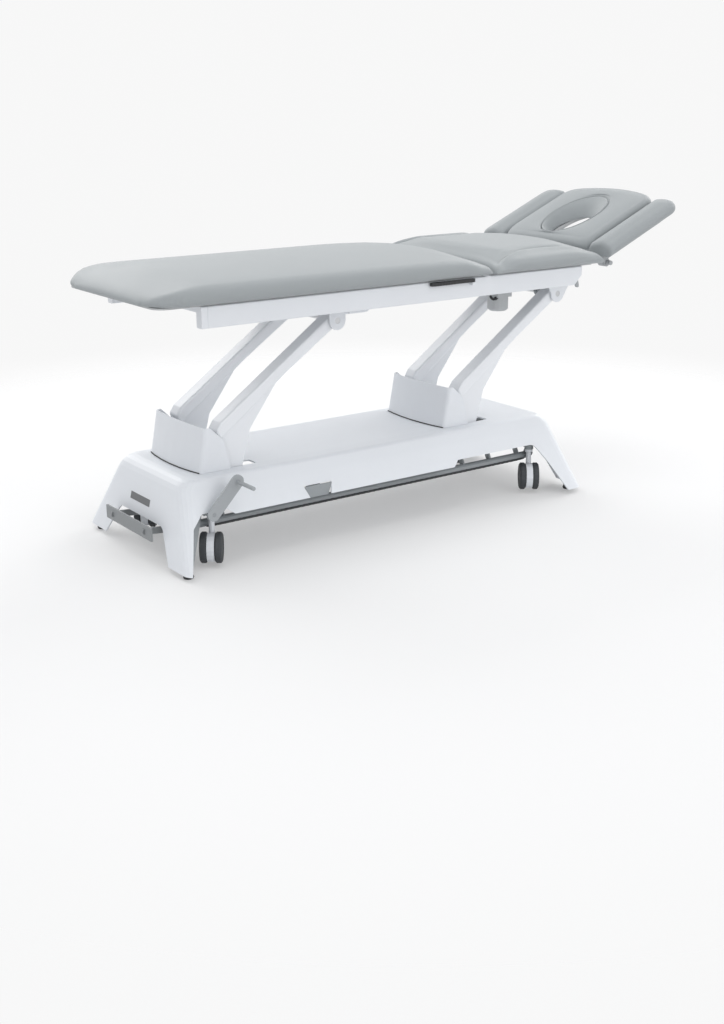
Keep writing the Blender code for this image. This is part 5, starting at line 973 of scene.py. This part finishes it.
def stitchRow(name, places, directions, ups, body):
    # Thread along a seam: each stitch is a short spindle that lies on the leather
    t = np.linspace(0.0, 1.0, 5)
    thick = np.array([0.25, 0.85, 1.0, 0.85, 0.25]) * stitch["radius"]
    angle = np.linspace(0.0, 2 * pi, stitch["sides"], endpoint=False)
    points, faces = [], []
    across = np.cross(ups, directions)
    for place, direction, up, side in zip(places, directions, ups, across):
        middle = place + direction * ((t - 0.5) * stitch["length"])[:, None]
        middle = middle + up * (stitch["proud"] * np.sin(pi * t))[:, None]
        ring = side[None, :] * np.cos(angle)[:, None] + up[None, :] * np.sin(angle)[:, None]
        spindle = middle[:, None] + ring[None] * thick[:, None, None]
        start = sum(len(block) for block in points)
        points.append(spindle.reshape(-1, 3))
        faces += [[start + index for index in face] for face in capped(len(t), stitch["sides"])]
    meshPiece(name, np.concatenate(points), faces, threadGrey, body)


def onSurface(made, origins, direction):
    # Where rays meet a finished cushion, and which way it faces there
    graph = bpy.context.evaluated_depsgraph_get()
    tree = BVHTree.FromObject(made, graph)
    places, normals = [], []
    for origin in origins:
        place, normal, _, _ = tree.ray_cast(Vector(origin), Vector(direction))
        places.append(place if place is not None else Vector(origin))
        normals.append(normal if normal is not None else -Vector(direction))
    return np.array(places), np.array(normals)


def valleyStitches(side):
    # Thread beside the sewn valley, a fixed distance from its line
    made = bpy.data.objects["middleCushion"]
    margin = stitch["seamMargin"]
    x = np.arange(upholstery["seamX"] + margin, middlePad["headX"] - margin, stitch["pitch"])
    line, _ = valleyLine(x)
    y = side * (line - stitch["offset"])
    origins = moved(np.stack([x, y, np.full_like(x, stitch["castFrom"][0])], axis=-1))
    places, normals = onSurface(made, origins, (0.0, 0.0, -1.0))
    name = "valleyThreadNear" if side < 0 else "valleyThreadFar"
    stitchRow(name, places, headings(places), normals, "top")


def rimStitches():
    # Thread round the face hole, just outside the groove
    h = headPlan
    made = bpy.data.objects["headCushion"]
    a, b = [size + stitch["rimOffset"] for size in h["rim"]]
    count = int(2 * pi * hypot(a, b) / sqrt(2) / stitch["pitch"])
    angle = np.linspace(0.0, 2 * pi, count, endpoint=False)
    along, y = h["faceAlong"] + a * np.cos(angle), b * np.sin(angle)
    origins = headToWorld(along, y, np.full(count, stitch["castFrom"][1]))
    tilt = h["tilt"]
    places, normals = onSurface(made, origins, (sin(tilt), 0.0, -cos(tilt)))
    ahead = unit(np.roll(places, -1, axis=0) - np.roll(places, 1, axis=0))
    stitchRow("rimThread", places, ahead, normals, "head_section")


for endName, pivotX in coverShadePlan["pivots"].items():
    coverFootShade("coverFootShade_" + endName, pivotX)
for sideName, sideSign in (("near", -1), ("far", 1)):
    footBarShadeStrip("footBarShadeStrip_" + sideName, "foot_bar_" + sideName, sideSign)
    valleyStitches(sideSign)
handleGrip()
motorPlug()
rimStitches()
print("small pieces made")

# Floor

floorPlan = {"half": 9.0, "z": -0.0005, "colour": (0.800, 0.800, 0.800), "seenShare": 0.30,
             "fadeStart": 1.7, "fadeEnd": 3.2}


def buildFloor():
    # A pale floor that fades into the backdrop with distance, so that no horizon line shows
    h = floorPlan["half"]
    mesh = bpy.data.meshes.new("floor")
    mesh.from_pydata([(-h, -h, floorPlan["z"]), (h, -h, floorPlan["z"]), (h, h, floorPlan["z"]),
                      (-h, h, floorPlan["z"])], [], [(0, 1, 2, 3)])
    made = bpy.data.objects.new("floor", mesh)
    scene.collection.objects.link(made)
    finish, tree, shader = blankMaterial("floorFinish", 0.9, Base_Color=(*floorPlan["colour"], 1.0),
                                         Specular_IOR_Level=0.15)
    place = addNode(tree, "ShaderNodeTexCoord")
    flat = addNode(tree, "ShaderNodeVectorMath", operation="LENGTH")
    join(tree, place, "Object", flat, 0)
    fade = addNode(tree, "ShaderNodeMapRange",
                   {"From Min": floorPlan["fadeStart"], "From Max": floorPlan["fadeEnd"]},
                   interpolation_type="SMOOTHSTEP")
    join(tree, flat, "Value", fade, "Value")
    # part of what the camera and glossy surfaces see is the backdrop's own tone: a softer shadow
    own = addNode(tree, "ShaderNodeEmission", {"Color": (*backdrop["seen"], 1.0)})
    path = addNode(tree, "ShaderNodeLightPath")
    seen = addNode(tree, "ShaderNodeMath", operation="MAXIMUM")
    part = addNode(tree, "ShaderNodeMath", {1: floorPlan["seenShare"]}, operation="MULTIPLY")
    lift = addNode(tree, "ShaderNodeMixShader")
    join(tree, path, "Is Camera Ray", seen, 0)
    join(tree, path, "Is Glossy Ray", seen, 1)
    join(tree, seen, "Value", part, 0)
    join(tree, part, "Value", lift, 0)
    join(tree, shader, "BSDF", lift, 1)
    join(tree, own, "Emission", lift, 2)
    clear = addNode(tree, "ShaderNodeBsdfTransparent")
    mix = addNode(tree, "ShaderNodeMixShader")
    out = tree.nodes["Material Output"]
    join(tree, fade, "Result", mix, 0)
    join(tree, lift, "Shader", mix, 1)
    join(tree, clear, 0, mix, 2)
    join(tree, mix, 0, out, "Surface")
    mesh.materials.append(finish)


buildFloor()
